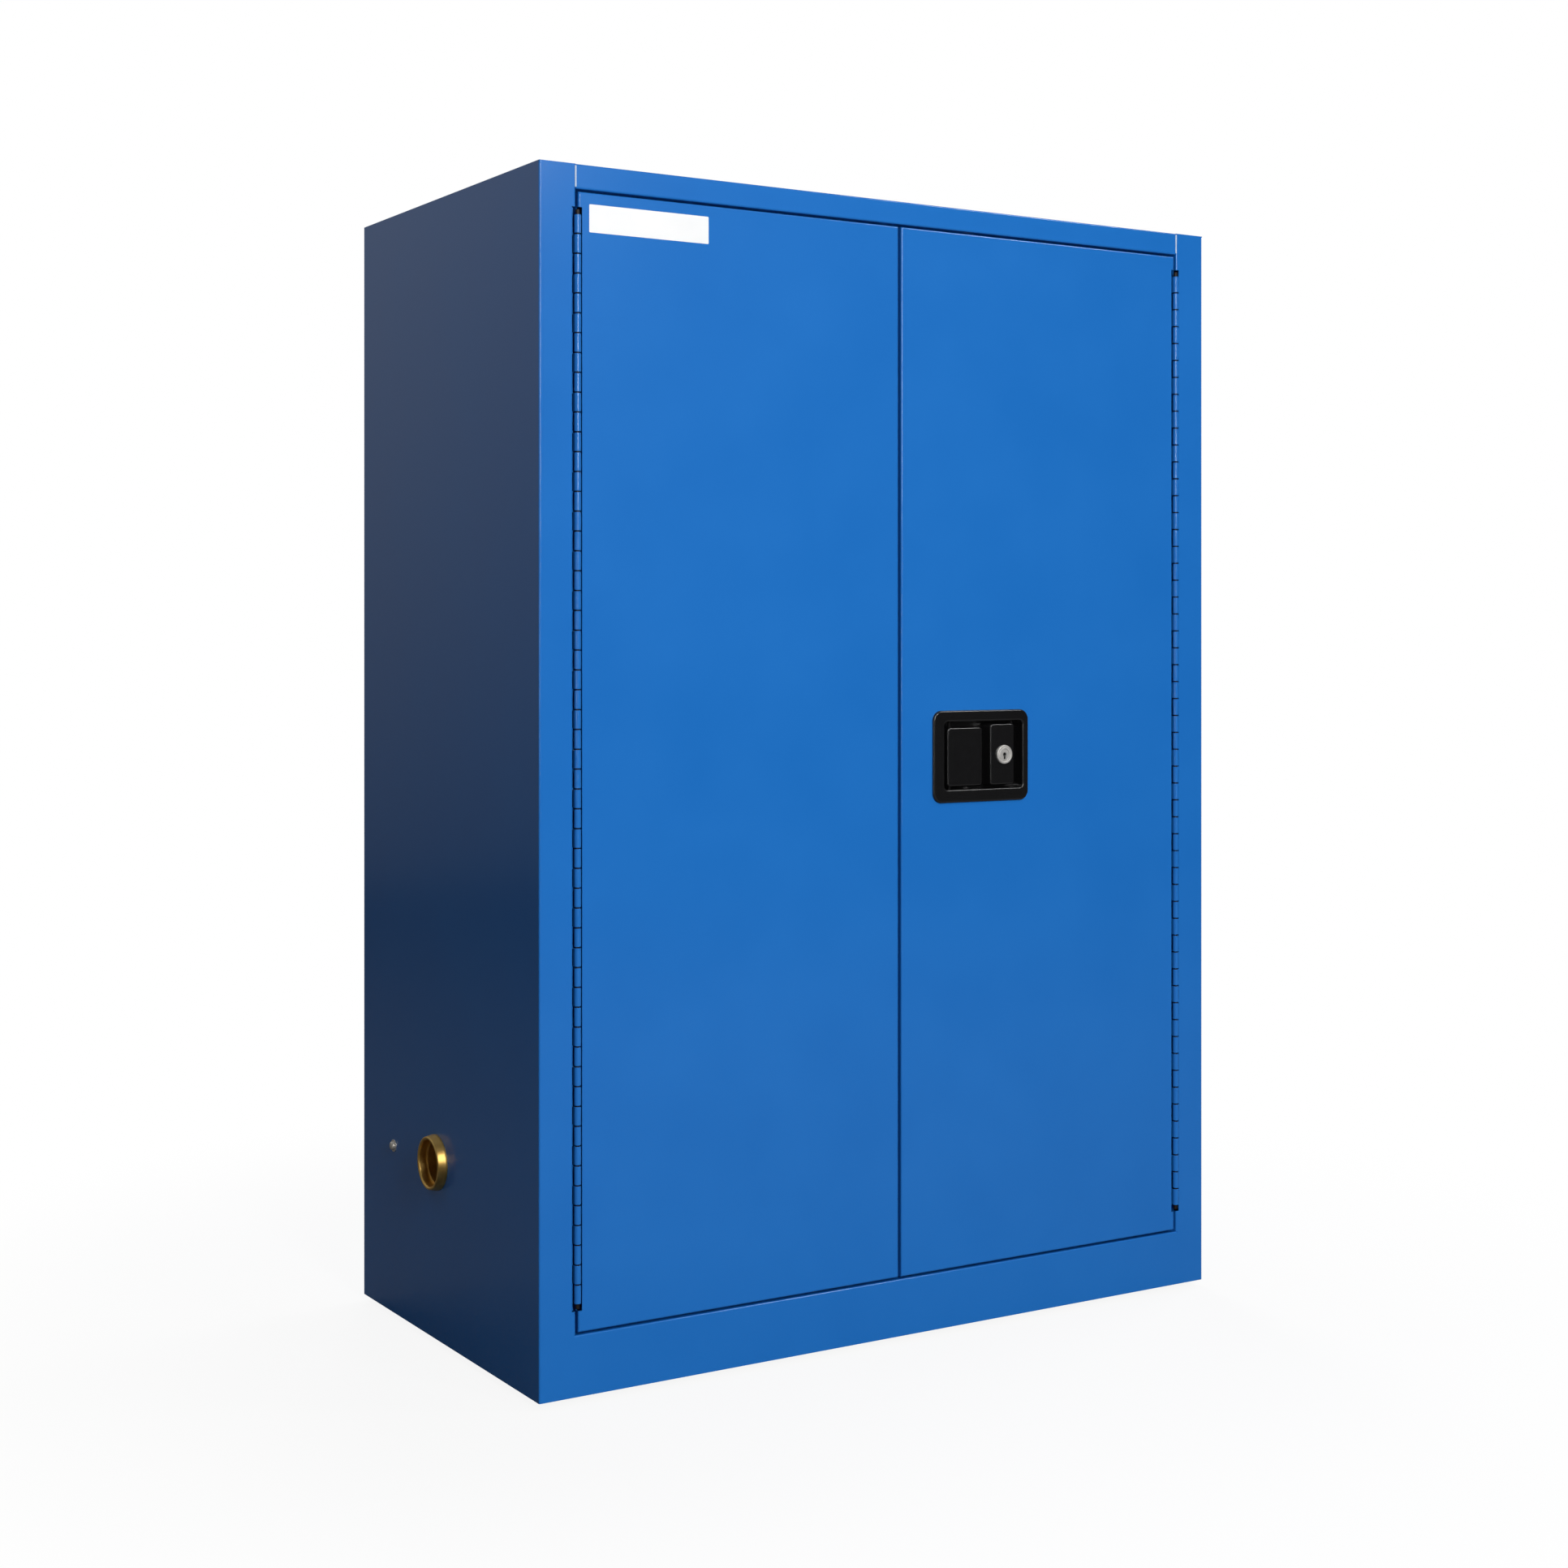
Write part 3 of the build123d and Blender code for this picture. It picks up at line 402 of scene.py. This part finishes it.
def hinge_leaf(side, door):
    """Leaf with rolled knuckles: the sheet runs up to the pin and curls round it."""
    node = f"{side}_hinge_{'door' if door else 'frame'}_leaf"
    low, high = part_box(node)
    axis = joints[f"{side}_door_hinge"]["pos_m"]
    outwards = 1 if side == "right" else -1
    way = -outwards if door else outwards
    radius = min(axis[1] - low.y, BARREL_RADIUS)
    pitch = (high.z - low.z) / KNUCKLES
    neck = radius + NECK
    bm = bmesh.new()
    first = bm.verts.new((radius - LEAF, 0, 0))
    second = bm.verts.new((radius, 0, 0))
    sheet_end = bm.edges.new((first, second))
    bmesh.ops.spin(
        bm, geom=[first, second, sheet_end], cent=(0, 0, 0), axis=(0, 0, 1), dvec=(0, 0, 0),
        angle=-radians(CURL_DEGREES), steps=CURL_STEPS, use_merge=False,
    )
    drawn = bmesh.ops.extrude_edge_only(bm, edges=[sheet_end])
    bmesh.ops.translate(bm, verts=points_among(drawn["geom"]), vec=(0, neck, 0))
    bmesh.ops.recalc_face_normals(bm, faces=bm.faces)
    bmesh.ops.solidify(bm, geom=bm.faces, thickness=pitch - KNUCKLE_GAP)
    lowest = min(vert.co.z for vert in bm.verts)
    bmesh.ops.translate(bm, verts=bm.verts, vec=(0, 0, KNUCKLE_GAP / 2 - lowest))
    rims = [edge for edge in level_edges(bm) if edge.calc_face_angle(0) > radians(RIM_DEGREES)]
    ease(bm, rims, KNUCKLE_EASE, 1)
    knuckle = bm.verts[:] + bm.edges[:] + bm.faces[:]
    start = 0 if door else 1
    bmesh.ops.translate(bm, verts=bm.verts, vec=(0, 0, start * pitch))
    for index in range(start + 2, KNUCKLES, 2):
        copy = bmesh.ops.duplicate(bm, geom=knuckle)
        bmesh.ops.translate(bm, verts=points_among(copy["geom"]), vec=(0, 0, (index - start) * pitch))
    box(bm, (radius - LEAF, neck, 0), (radius, high.y - axis[1], high.z - low.z))
    place = Matrix.Translation((axis[0], axis[1], low.z)) @ Matrix.Diagonal((way, 1, 1, 1))
    bmesh.ops.transform(bm, matrix=place, verts=bm.verts)
    body = f"{side}_door" if door else "cabinet"
    settle(bm, f"{node}_rolled", body, finishes["blue_powder_coat"], [node])


def hinge_pin(side):
    """Bare steel pin that shows above and below the knuckles."""
    node = f"{side}_hinge_pin"
    low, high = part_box(node)
    bm = bmesh.new()
    rod(bm, (low + high) / 2, (high.x - low.x) / 2, high.z - low.z, PIN_SEGMENTS)
    ease(bm, level_edges(bm), PIN_EASE, 2)
    settle(bm, f"{node}_steel", "cabinet", pin_steel, [node])


for side in ("left", "right"):
    hinge_leaf(side, door=False)
    hinge_leaf(side, door=True)
    hinge_pin(side)


# Paddle latch and lock, with places measured on the front of the cabinet in millimetres

PLATE_CORNER = 15.0
PLATE_EDGE = 3.2
RECESS_CENTRE = (148.25, 846.5)
RECESS_SIZE = (142.5, 99.5)
RECESS_CORNER = 6.0
RECESS_EDGE = 3.0
RECESS_FLOOR = 26.0
RECESS_FLOOR_EDGE = 1.5
PLATFORM_LOW = (162.0, 801.5)
PLATFORM_HIGH = (205.5, 891.5)
PLATFORM_CORNER = 4.0
PLATFORM_EDGE = 2.4
PLATFORM_BELOW = 3.0
PLATFORM_SPREAD = 2.4
TAIL_SLOT_LOW = (92.5, 864.7)
TAIL_SLOT_HIGH = (111.3, 874.7)
PADDLE_LOW = (84.0, 801.0)
PADDLE_HIGH = (147.0, 887.5)
PADDLE_CORNER = 5.0
PADDLE_EDGE = 2.8
PADDLE_DEPTH = 10.0
PADDLE_WALL = 3.0
TAIL_X = (93.5, 97.5)
TAIL_Z = (865.7, 873.7)
LOCK_RING = 3.0
LOCK_BARREL_INSET = 2.5
LOCK_BORE = 8.2
LOCK_SEGMENTS = 64
PLUG_RADIUS = 8.0
PLUG_FACE = 1.9
PLUG_SEGMENTS = 48
KEYHOLE_RADIUS = 3.1
KEYHOLE_SLOT = (3.6, 7.0)
KEYHOLE_STEPS = 20
KEYWAY_RADIUS = 7.9
KEYWAY_FRONT = -2.4
KEYWAY_BACK = -6.0
KEYWAY_SEGMENTS = 32
door_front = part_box("left_door_outer_pan")[0].y


def cut_slot(bm, low, high, height):
    """Opening in a flat floor, between two corners."""
    flat = [face for face in bm.faces if all(abs(vert.co.z - height) < SAME_LEVEL for vert in face.verts)]
    across = Vector((1, 0, 0))
    upwards = Vector((0, 1, 0))
    for axis, value in ((across, low[0]), (across, high[0]), (upwards, low[1]), (upwards, high[1])):
        edges = list({edge for face in flat for edge in face.edges})
        verts = list({vert for face in flat for vert in face.verts})
        cut = bmesh.ops.bisect_plane(
            bm, geom=verts + edges + flat, dist=SAME_POINT, plane_co=axis * value, plane_no=axis,
        )
        flat = [element for element in cut["geom"] if isinstance(element, bmesh.types.BMFace)]
    middles = {face: face.calc_center_median() for face in flat}
    inside = [
        face for face, middle in middles.items()
        if low[0] < middle.x < high[0] and low[1] < middle.y < high[1]
    ]
    bmesh.ops.delete(bm, geom=inside, context="FACES")


def latch_cup():
    """Plate with a rounded edge, a deep recess and the platform that carries the lock."""
    low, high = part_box("latch_cup")
    centre = ((low.x + high.x) / 2, (low.z + high.z) / 2)
    size = (high.x - low.x, high.z - low.z)
    floor_height = -RECESS_FLOOR * MM
    recess = (metres(RECESS_CENTRE), metres(RECESS_SIZE), RECESS_CORNER * MM)
    platform_centre = metres(middle_of(PLATFORM_LOW, PLATFORM_HIGH))
    platform_size = metres(size_of(PLATFORM_LOW, PLATFORM_HIGH))
    foot_size = tuple(value + 2 * PLATFORM_SPREAD * MM for value in platform_size)
    corner = PLATFORM_CORNER * MM
    bm = bmesh.new()
    skirt = rounded_loop(bm, centre, size, PLATE_CORNER * MM, low.y - door_front)
    outer = rounded_loop(bm, centre, size, PLATE_CORNER * MM, 0.0)
    mouth = rounded_loop(bm, *recess, 0.0)
    bottom = rounded_loop(bm, *recess, floor_height)
    foot_edges = rounded_loop(bm, platform_centre, foot_size, corner, floor_height)
    crown = rounded_face(bm, platform_centre, platform_size, corner, -PLATFORM_BELOW * MM)
    crown_edges = list(crown.edges)
    outlines = [skirt, outer, mouth, bottom, foot_edges, crown_edges]
    for first, second in zip(outlines, outlines[1:]):
        join(bm, first, second)
    ease(bm, outer, PLATE_EDGE * MM, 4)
    ease(bm, mouth, RECESS_EDGE * MM, 4)
    ease(bm, bottom + foot_edges, RECESS_FLOOR_EDGE * MM, 3)
    ease(bm, crown_edges, PLATFORM_EDGE * MM, 4)
    cut_slot(bm, metres(TAIL_SLOT_LOW), metres(TAIL_SLOT_HIGH), floor_height)
    bmesh.ops.recalc_face_normals(bm, faces=bm.faces)
    bmesh.ops.transform(bm, matrix=facing_front(0, low.y, 0), verts=bm.verts)
    settle(bm, "latch_cup_cast", "right_door", finishes["black_paint"], ["latch_cup"])


def paddle():
    """Pull plate with a rounded front and a turned-in rim, and the tail that works the cam."""
    low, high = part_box("paddle")
    centre = metres(middle_of(PADDLE_LOW, PADDLE_HIGH))
    size = metres(size_of(PADDLE_LOW, PADDLE_HIGH))
    tail_low = (TAIL_X[0] * MM, low.y + PADDLE_WALL * MM, TAIL_Z[0] * MM)
    tail_high = (TAIL_X[1] * MM, high.y, TAIL_Z[1] * MM)
    bm = bmesh.new()
    rim = rounded_loop(bm, centre, size, PADDLE_CORNER * MM, -PADDLE_DEPTH * MM)
    face = rounded_face(bm, centre, size, PADDLE_CORNER * MM, 0.0)
    front = list(face.edges)
    join(bm, rim, front)
    ease(bm, front, PADDLE_EDGE * MM, 4)
    bmesh.ops.recalc_face_normals(bm, faces=bm.faces)
    bmesh.ops.solidify(bm, geom=bm.faces, thickness=PADDLE_WALL * MM)
    bmesh.ops.transform(bm, matrix=facing_front(0, low.y, 0), verts=bm.verts)
    box(bm, tail_low, tail_high)
    settle(bm, "paddle_pressed", "paddle", finishes["black_paint"], ["paddle"])


def lock_housing():
    """Chrome ring with a rolled edge, a fine groove and the barrel behind it."""
    low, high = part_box("lock_housing")
    axis = (low + high) / 2
    ring = (high.x - low.x) / 2 / MM
    behind = (low.y - high.y) / MM
    barrel = ring - LOCK_BARREL_INSET
    rolled_edge = [(ring, -LOCK_RING, 0), (ring, 0.0, 1.4)]
    groove = [(ring - 3.0, 0.0, 0.4), (ring - 3.4, -0.7, 0), (ring - 3.9, -0.7, 0), (ring - 4.3, -0.1, 0.3)]
    bore = [(LOCK_BORE, -0.1, 0.4), (LOCK_BORE, behind, 0)]
    outside = [(barrel, behind, 0), (barrel, -LOCK_RING, 0)]
    bm = bmesh.new()
    profile = rolled_edge + groove + bore + outside
    turned(bm, profile, facing_front(axis.x, low.y, axis.z), LOCK_SEGMENTS)
    settle(bm, "lock_housing_turned", "right_door", finishes["chrome"], ["lock_housing"])


def lock_plug():
    """Face of the lock core, cut through by the keyhole, and the keyway behind it, coloured dark as painted shade
    inside the keyhole.
    """
    low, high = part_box("lock_plug")
    axis = (low + high) / 2
    place = facing_front(axis.x, low.y, axis.z)
    half = KEYHOLE_SLOT[0] / 2 * MM
    slot_end = -KEYHOLE_SLOT[1] * MM
    step = -(KEYHOLE_RADIUS ** 2 - (KEYHOLE_SLOT[0] / 2) ** 2) ** 0.5 * MM
    turn = 2 * pi - 2 * Vector((0, -1)).angle(Vector((half, step)))
    bm = bmesh.new()
    bmesh.ops.create_circle(bm, cap_ends=False, segments=PLUG_SEGMENTS, radius=PLUG_RADIUS * MM)
    start = bm.verts.new((half, step, 0))
    arc = bmesh.ops.spin(
        bm, geom=[start], cent=(0, 0, 0), axis=(0, 0, 1), dvec=(0, 0, 0),
        angle=turn, steps=KEYHOLE_STEPS, use_merge=False,
    )
    end = points_among(arc["geom_last"])[0]
    left = bm.verts.new((-half, slot_end, 0))
    right = bm.verts.new((half, slot_end, 0))
    for pair in ((end, left), (left, right), (right, start)):
        bm.edges.new(pair)
    bmesh.ops.triangle_fill(bm, use_beauty=True, edges=bm.edges[:])
    bmesh.ops.recalc_face_normals(bm, faces=bm.faces)
    bmesh.ops.solidify(bm, geom=bm.faces, thickness=PLUG_FACE * MM)
    nearest = max(vert.co.z for vert in bm.verts)
    bmesh.ops.translate(bm, verts=bm.verts, vec=(0, 0, -nearest))
    bmesh.ops.transform(bm, matrix=place, verts=bm.verts)
    settle(bm, "lock_plug_face", "lock_plug", finishes["chrome"], ["lock_plug"])
    # The keyway disc is coloured near-black: painted shade for the inside of the keyhole
    keyway = [
        (0.0, KEYWAY_BACK, 0), (KEYWAY_RADIUS, KEYWAY_BACK, 0),
        (KEYWAY_RADIUS, KEYWAY_FRONT, 0.3), (0.0, KEYWAY_FRONT, 0),
    ]
    bm = bmesh.new()
    turned(bm, keyway, place, KEYWAY_SEGMENTS)
    settle(bm, "lock_keyway", "lock_plug", dark_steel_and_keyway_shade, [])


latch_cup()
paddle()
lock_housing()
lock_plug()


# Vent collars and ground screw, in millimetres

COLLAR_PROUD = 14.0
COLLAR_FRONT = 37.6
MOUTH_RADIUS = 34.6
BORE_RADIUS = 33.4
BORE_STEP = 1.0
NECK_RADIUS = 30.0
SPIGOT_RADIUS = 35.0
COLLAR_SEGMENTS = 96
WASHER_HOLE = 3.3
SCREW_HEAD = 6.5
SCREW_SHOULDER = 3.6
SCREW_CROWN = 5.0
SCREW_SEGMENTS = 48


def vent_collar(side):
    """Turned collar: a rim with soft edges, a stepped bore and the spigot through both walls."""
    node = f"{side}_vent_collar"
    low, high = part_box(node)
    panel_low, panel_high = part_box(f"{side}_side_panel")
    way = 1 if side == "right" else -1
    panel = panel_high.x if side == "right" else panel_low.x
    middle = (low + high) / 2
    place = facing_side(way, panel, middle.y, middle.z)
    rim = (high.z - low.z) / 2 / MM
    inside = COLLAR_PROUD - (high.x - low.x) / MM
    tapered_rim = [(rim, 0.0, 0.3), (rim, 2.5, 0.8), (COLLAR_FRONT, COLLAR_PROUD, 1.4)]
    mouth = [(MOUTH_RADIUS, COLLAR_PROUD, 0.8), (BORE_RADIUS, 12.0, 0.6)]
    step = [(BORE_RADIUS, BORE_STEP, 0.4), (NECK_RADIUS, BORE_STEP, 0.7)]
    spigot = [(NECK_RADIUS, inside, 0), (SPIGOT_RADIUS, inside, 0), (SPIGOT_RADIUS, 0.0, 0)]
    bm = bmesh.new()
    turned(bm, tapered_rim + mouth + step + spigot, place, COLLAR_SEGMENTS)
    material = turned_brass(f"turned_brass_{side}", place.translation)
    settle(bm, f"{node}_turned", "cabinet", material, [node])


def ground_fastening():
    """Pan head screw on a plain washer."""
    low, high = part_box("ground_washer")
    middle = (low + high) / 2
    radius = (high.z - low.z) / 2 / MM
    thick = (high.x - low.x) / MM
    place = facing_side(-1, high.x, middle.y, middle.z)
    washer = [(radius, 0.0, 0), (radius, thick, 0.4), (WASHER_HOLE, thick, 0.3), (WASHER_HOLE, 0.0, 0)]
    head = [
        (0.0, thick, 0), (SCREW_HEAD, thick, 0.3),
        (SCREW_HEAD, thick + SCREW_SHOULDER, 2.6), (0.0, thick + SCREW_CROWN, 0),
    ]
    zinc = finishes["zinc_plated_steel"]
    for name, profile, node in (
        ("ground_washer_plain", washer, "ground_washer"),
        ("ground_screw_head", head, "ground_screw"),
    ):
        bm = bmesh.new()
        turned(bm, profile, place, SCREW_SEGMENTS)
        settle(bm, name, "cabinet", zinc, [node])


for side in ("left", "right"):
    vent_collar(side)
ground_fastening()


# Seams, feet, trays and label, in millimetres

SEAM_X = 522.5
SEAM_LOW = 1619.0
SEAM_HIGH = 1648.0
BEAD_RADIUS = 1.4
BEAD_PROUD = 0.9
BEAD_EDGE = 0.8
BEAD_SEGMENTS = 20
PAD_EDGE = 4.0
PAD_SHOULDER = 13.0
PAD_HEIGHT = 9.8
STEM_RADIUS = 4.0
FOOT_SEGMENTS = 40
TRAY_CORNER = 14.0
TRAY_EDGE = 6.0
TRAY_WALL = 3.0
LABEL_LOW = (-502.4, 1560.5)
LABEL_HIGH = (-319.0, 1598.0)
LABEL_CORNER = 1.5
LABEL_FILM = 0.3


def seam_bead(side):
    """Bead in the seam between a stile and the top rail; its pale colour is a painted highlight along the seam."""
    x = SEAM_X * MM if side == "right" else -SEAM_X * MM
    y = door_front + (BEAD_RADIUS - BEAD_PROUD) * MM
    z = (SEAM_LOW + SEAM_HIGH) / 2 * MM
    bm = bmesh.new()
    rod(bm, (x, y, z), BEAD_RADIUS * MM, (SEAM_HIGH - SEAM_LOW) * MM, BEAD_SEGMENTS)
    ease(bm, level_edges(bm), BEAD_EDGE * MM, 3)
    settle(bm, f"{side}_seam_bead", "cabinet", seam_bead_highlight_paint, [])


def foot(corner):
    """Levelling foot: a moulded pad with a soft shoulder, and its stem."""
    node = f"{corner}_foot"
    low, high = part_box(node)
    middle = (low + high) / 2
    radius = (high.x - low.x) / 2 / MM
    top = (high.z - low.z) / MM
    pad = [(0.0, 0.0, 0), (radius, 0.0, 0.8), (radius, PAD_EDGE, 1.2), (PAD_SHOULDER, PAD_HEIGHT, 1.0)]
    stem = [(STEM_RADIUS, PAD_HEIGHT, 0), (STEM_RADIUS, top, 0.6), (0.0, top, 0)]
    bm = bmesh.new()
    turned(bm, pad + stem, Matrix.Translation((middle.x, middle.y, low.z)), FOOT_SEGMENTS)
    settle(bm, f"{node}_moulded", "cabinet", finishes["foot_plastic"], [node])


def tray(node):
    """Moulded tray with round corners and a soft floor edge."""
    low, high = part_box(node)
    middle = (low + high) / 2
    shape = ((middle.x, middle.y), (high.x - low.x, high.y - low.y), TRAY_CORNER * MM)
    bm = bmesh.new()
    rim = rounded_loop(bm, *shape, high.z)
    bottom = rounded_face(bm, *shape, low.z)
    edges = list(bottom.edges)
    join(bm, rim, edges)
    ease(bm, edges, TRAY_EDGE * MM, 4)
    bmesh.ops.recalc_face_normals(bm, faces=bm.faces)
    bmesh.ops.solidify(bm, geom=bm.faces, thickness=TRAY_WALL * MM)
    settle(bm, f"{node}_moulded", "cabinet", finishes["polyethylene"], [node])


def label():
    """Plain white label on the left door."""
    centre = metres(middle_of(LABEL_LOW, LABEL_HIGH))
    size = metres(size_of(LABEL_LOW, LABEL_HIGH))
    bm = bmesh.new()
    rim = rounded_loop(bm, centre, size, LABEL_CORNER * MM, 0.0)
    face = rounded_face(bm, centre, size, LABEL_CORNER * MM, LABEL_FILM * MM)
    join(bm, rim, list(face.edges))
    bmesh.ops.transform(bm, matrix=facing_front(0, door_front, 0), verts=bm.verts)
    settle(bm, "blank_label", "left_door", label_white, [])


for side in ("left", "right"):
    seam_bead(side)
for corner in ("front_left", "front_right", "back_left", "back_right"):
    foot(corner)
for node in ("lower_tray", "upper_tray", "sump_tray"):
    tray(node)
label()


# Finishes of the CAD nodes; the two brass ones are hidden behind the turned collars

finishes["brass"] = finishes["zinc_plated_steel"]
for name, node in frame["nodes"].items():
    finish = dark_steel_and_keyway_shade if name == "paddle_pin" else finishes[slot_of[name]]
    for material_slot in node.material_slots:
        material_slot.material = finish


# Studio

CEILING = (0.2, 0.9)
ROOM_FILL = (0.0, 0.20)
BACKDROP_RISE = (-0.22, 0.3)
BACKDROP = (0.0, 0.37)
BACKDROP_TURN = (-0.6, 0.4)
BACKDROP_SHARE = (0.04, 1.0)
WHITE = (1, 1, 1, 1)
FLOOR_SIZE = 12.0
FLOOR_NEAR = 0.75
FLOOR_FAR = 1.7
FLOOR_WHITE = 0.9
FLOOR_PALE = "#ececec"
FLOOR_BOUNCE = "#606060"
FRONT_MIDDLE = (0.0, -0.3, 0.85)
LEFT_MIDDLE = (-0.58, 0.0, 1.0)
RIGHT_MIDDLE = (0.58, 0.0, 0.85)
BACK_MIDDLE = (0.0, 0.3, 0.85)
TOP_MIDDLE = (0.0, 0.0, 1.65)
CAMERA_PLACE = (-1.9407, -3.1287, 1.0236)
CAMERA_TURN = 31.7185
CAMERA_LENS = 54.34
CAMERA_SHIFT = -0.0951


def towards(tree, direction, axis, turn, strength):
    """Strength that changes from its first value to its second as a ray turns towards an axis."""
    share = add(tree, "ShaderNodeSeparateXYZ", {0: direction}, output=axis)
    inputs = {
        "Value": share, "From Min": turn[0], "From Max": turn[1],
        "To Min": strength[0], "To Max": strength[1],
    }
    return add(tree, "ShaderNodeMapRange", inputs)


def world_light():
    """White to the camera and through glass; a dim room that is lighter above and behind to reflections, and
    a faint light from the ceiling to the rest."""
    world = bpy.data.worlds.new("studio")
    bpy.context.scene.world = world
    world.use_nodes = True
    tree = world.node_tree
    tree.nodes.clear()
    direction = add(tree, "ShaderNodeTexCoord", {}, output="Generated")
    to_camera = add(tree, "ShaderNodeLightPath", {}, output="Is Camera Ray")
    through_glass = add(tree, "ShaderNodeLightPath", {}, output="Is Transmission Ray")
    reflected = add(tree, "ShaderNodeLightPath", {}, output="Is Glossy Ray")
    seen = add(tree, "ShaderNodeMath", {0: to_camera, 1: through_glass}, operation="MAXIMUM")
    fill = towards(tree, direction, "Z", CEILING, ROOM_FILL)
    upper = towards(tree, direction, "Z", BACKDROP_RISE, BACKDROP)
    behind = towards(tree, direction, "Y", BACKDROP_TURN, BACKDROP_SHARE)
    mirrored = add(tree, "ShaderNodeMath", {0: upper, 1: behind}, operation="MULTIPLY")
    room = add(tree, "ShaderNodeMix", {0: reflected, 2: fill, 3: mirrored}, data_type="FLOAT")
    strength = add(tree, "ShaderNodeMix", {0: seen, 2: room, 3: 1.0}, data_type="FLOAT")
    light = add(tree, "ShaderNodeBackground", {"Color": WHITE, "Strength": strength})
    add(tree, "ShaderNodeOutputWorld", {"Surface": light})


def floor():
    """Pale floor that takes the contact shadow and fades into the white background."""
    bm = bmesh.new()
    bmesh.ops.create_grid(bm, x_segments=1, y_segments=1, size=FLOOR_SIZE / 2)
    mesh = bpy.data.meshes.new("floor")
    bm.to_mesh(mesh)
    bm.free()
    material, tree = new_tree("pale_studio_floor")
    object_space = add(tree, "ShaderNodeTexCoord", {}, output="Object")
    distance = add(tree, "ShaderNodeVectorMath", {0: object_space}, output="Value", operation="LENGTH")
    fading = {
        "Value": distance, "From Min": FLOOR_NEAR, "From Max": FLOOR_FAR,
        "To Min": FLOOR_WHITE, "To Max": 1.0,
    }
    fade = add(tree, "ShaderNodeMapRange", fading, interpolation_type="SMOOTHSTEP")
    to_camera = add(tree, "ShaderNodeLightPath", {}, output="Is Camera Ray")
    share = add(tree, "ShaderNodeMath", {0: fade, 1: to_camera}, operation="MULTIPLY")
    shades = {0: to_camera, 6: colour(FLOOR_BOUNCE), 7: colour(FLOOR_PALE)}
    shade = add(tree, "ShaderNodeMix", shades, output=2, data_type="RGBA")
    matt = add(tree, "ShaderNodeBsdfDiffuse", {"Color": shade})
    white = add(tree, "ShaderNodeEmission", {"Color": WHITE, "Strength": 1.0})
    surface = add(tree, "ShaderNodeMixShader", {0: share, 1: matt, 2: white})
    add(tree, "ShaderNodeOutputMaterial", {"Surface": surface})
    mesh.materials.append(material)
    plane = bpy.data.objects.new("floor", mesh)
    bpy.context.scene.collection.objects.link(plane)


def soft_light(name, place, target, size, watts, mirrored=False):
    """Rectangular soft box that faces a point; reflected rays meet it only where it is mirrored."""
    data = bpy.data.lights.new(name, "AREA")
    data.shape = "RECTANGLE"
    data.size, data.size_y = size
    data.energy = watts
    lamp = bpy.data.objects.new(name, data)
    lamp.location = place
    lamp.rotation_euler = (Vector(target) - Vector(place)).to_track_quat("-Z", "Y").to_euler()
    lamp.visible_glossy = mirrored
    bpy.context.scene.collection.objects.link(lamp)


def camera():
    """Level view camera left of the front, with the lens shifted down."""
    data = bpy.data.cameras.new("camera")
    data.sensor_width = 36.0
    data.lens = CAMERA_LENS
    data.shift_y = CAMERA_SHIFT
    eye = bpy.data.objects.new("camera", data)
    eye.location = CAMERA_PLACE
    eye.rotation_euler = (radians(90), 0, -radians(CAMERA_TURN))
    bpy.context.scene.collection.objects.link(eye)
    bpy.context.scene.camera = eye


world_light()
floor()
soft_light("key", (-0.9, -3.5, 2.1), FRONT_MIDDLE, (0.5, 1.6), 45, mirrored=True)
soft_light("upper_key", (0.53, -3.45, 2.66), FRONT_MIDDLE, (0.5, 0.5), 20, mirrored=True)
soft_light("front_fill", (-0.4, -5.4, 0.9), FRONT_MIDDLE, (1.6, 1.5), 106)
soft_light("right_key", (2.6, -2.4, 4.15), FRONT_MIDDLE, (0.9, 0.5), 28, mirrored=True)
soft_light("left_fill", (-1.8, 0.3, 2.6), LEFT_MIDDLE, (0.8, 0.8), 2.2)
soft_light("left_key", (-4.0, -2.6, 0.9), LEFT_MIDDLE, (0.5, 0.5), 6, mirrored=True)
soft_light("right_fill", (4.0, 0.8, 2.2), RIGHT_MIDDLE, (1.5, 1.5), 62)
soft_light("back_fill", (1.4, 4.2, 2.2), BACK_MIDDLE, (1.5, 1.5), 90)
soft_light("overhead", (0.4, 0.6, 4.6), TOP_MIDDLE, (1.0, 1.0), 40)
camera()
bpy.context.scene.view_settings.view_transform = "Standard"
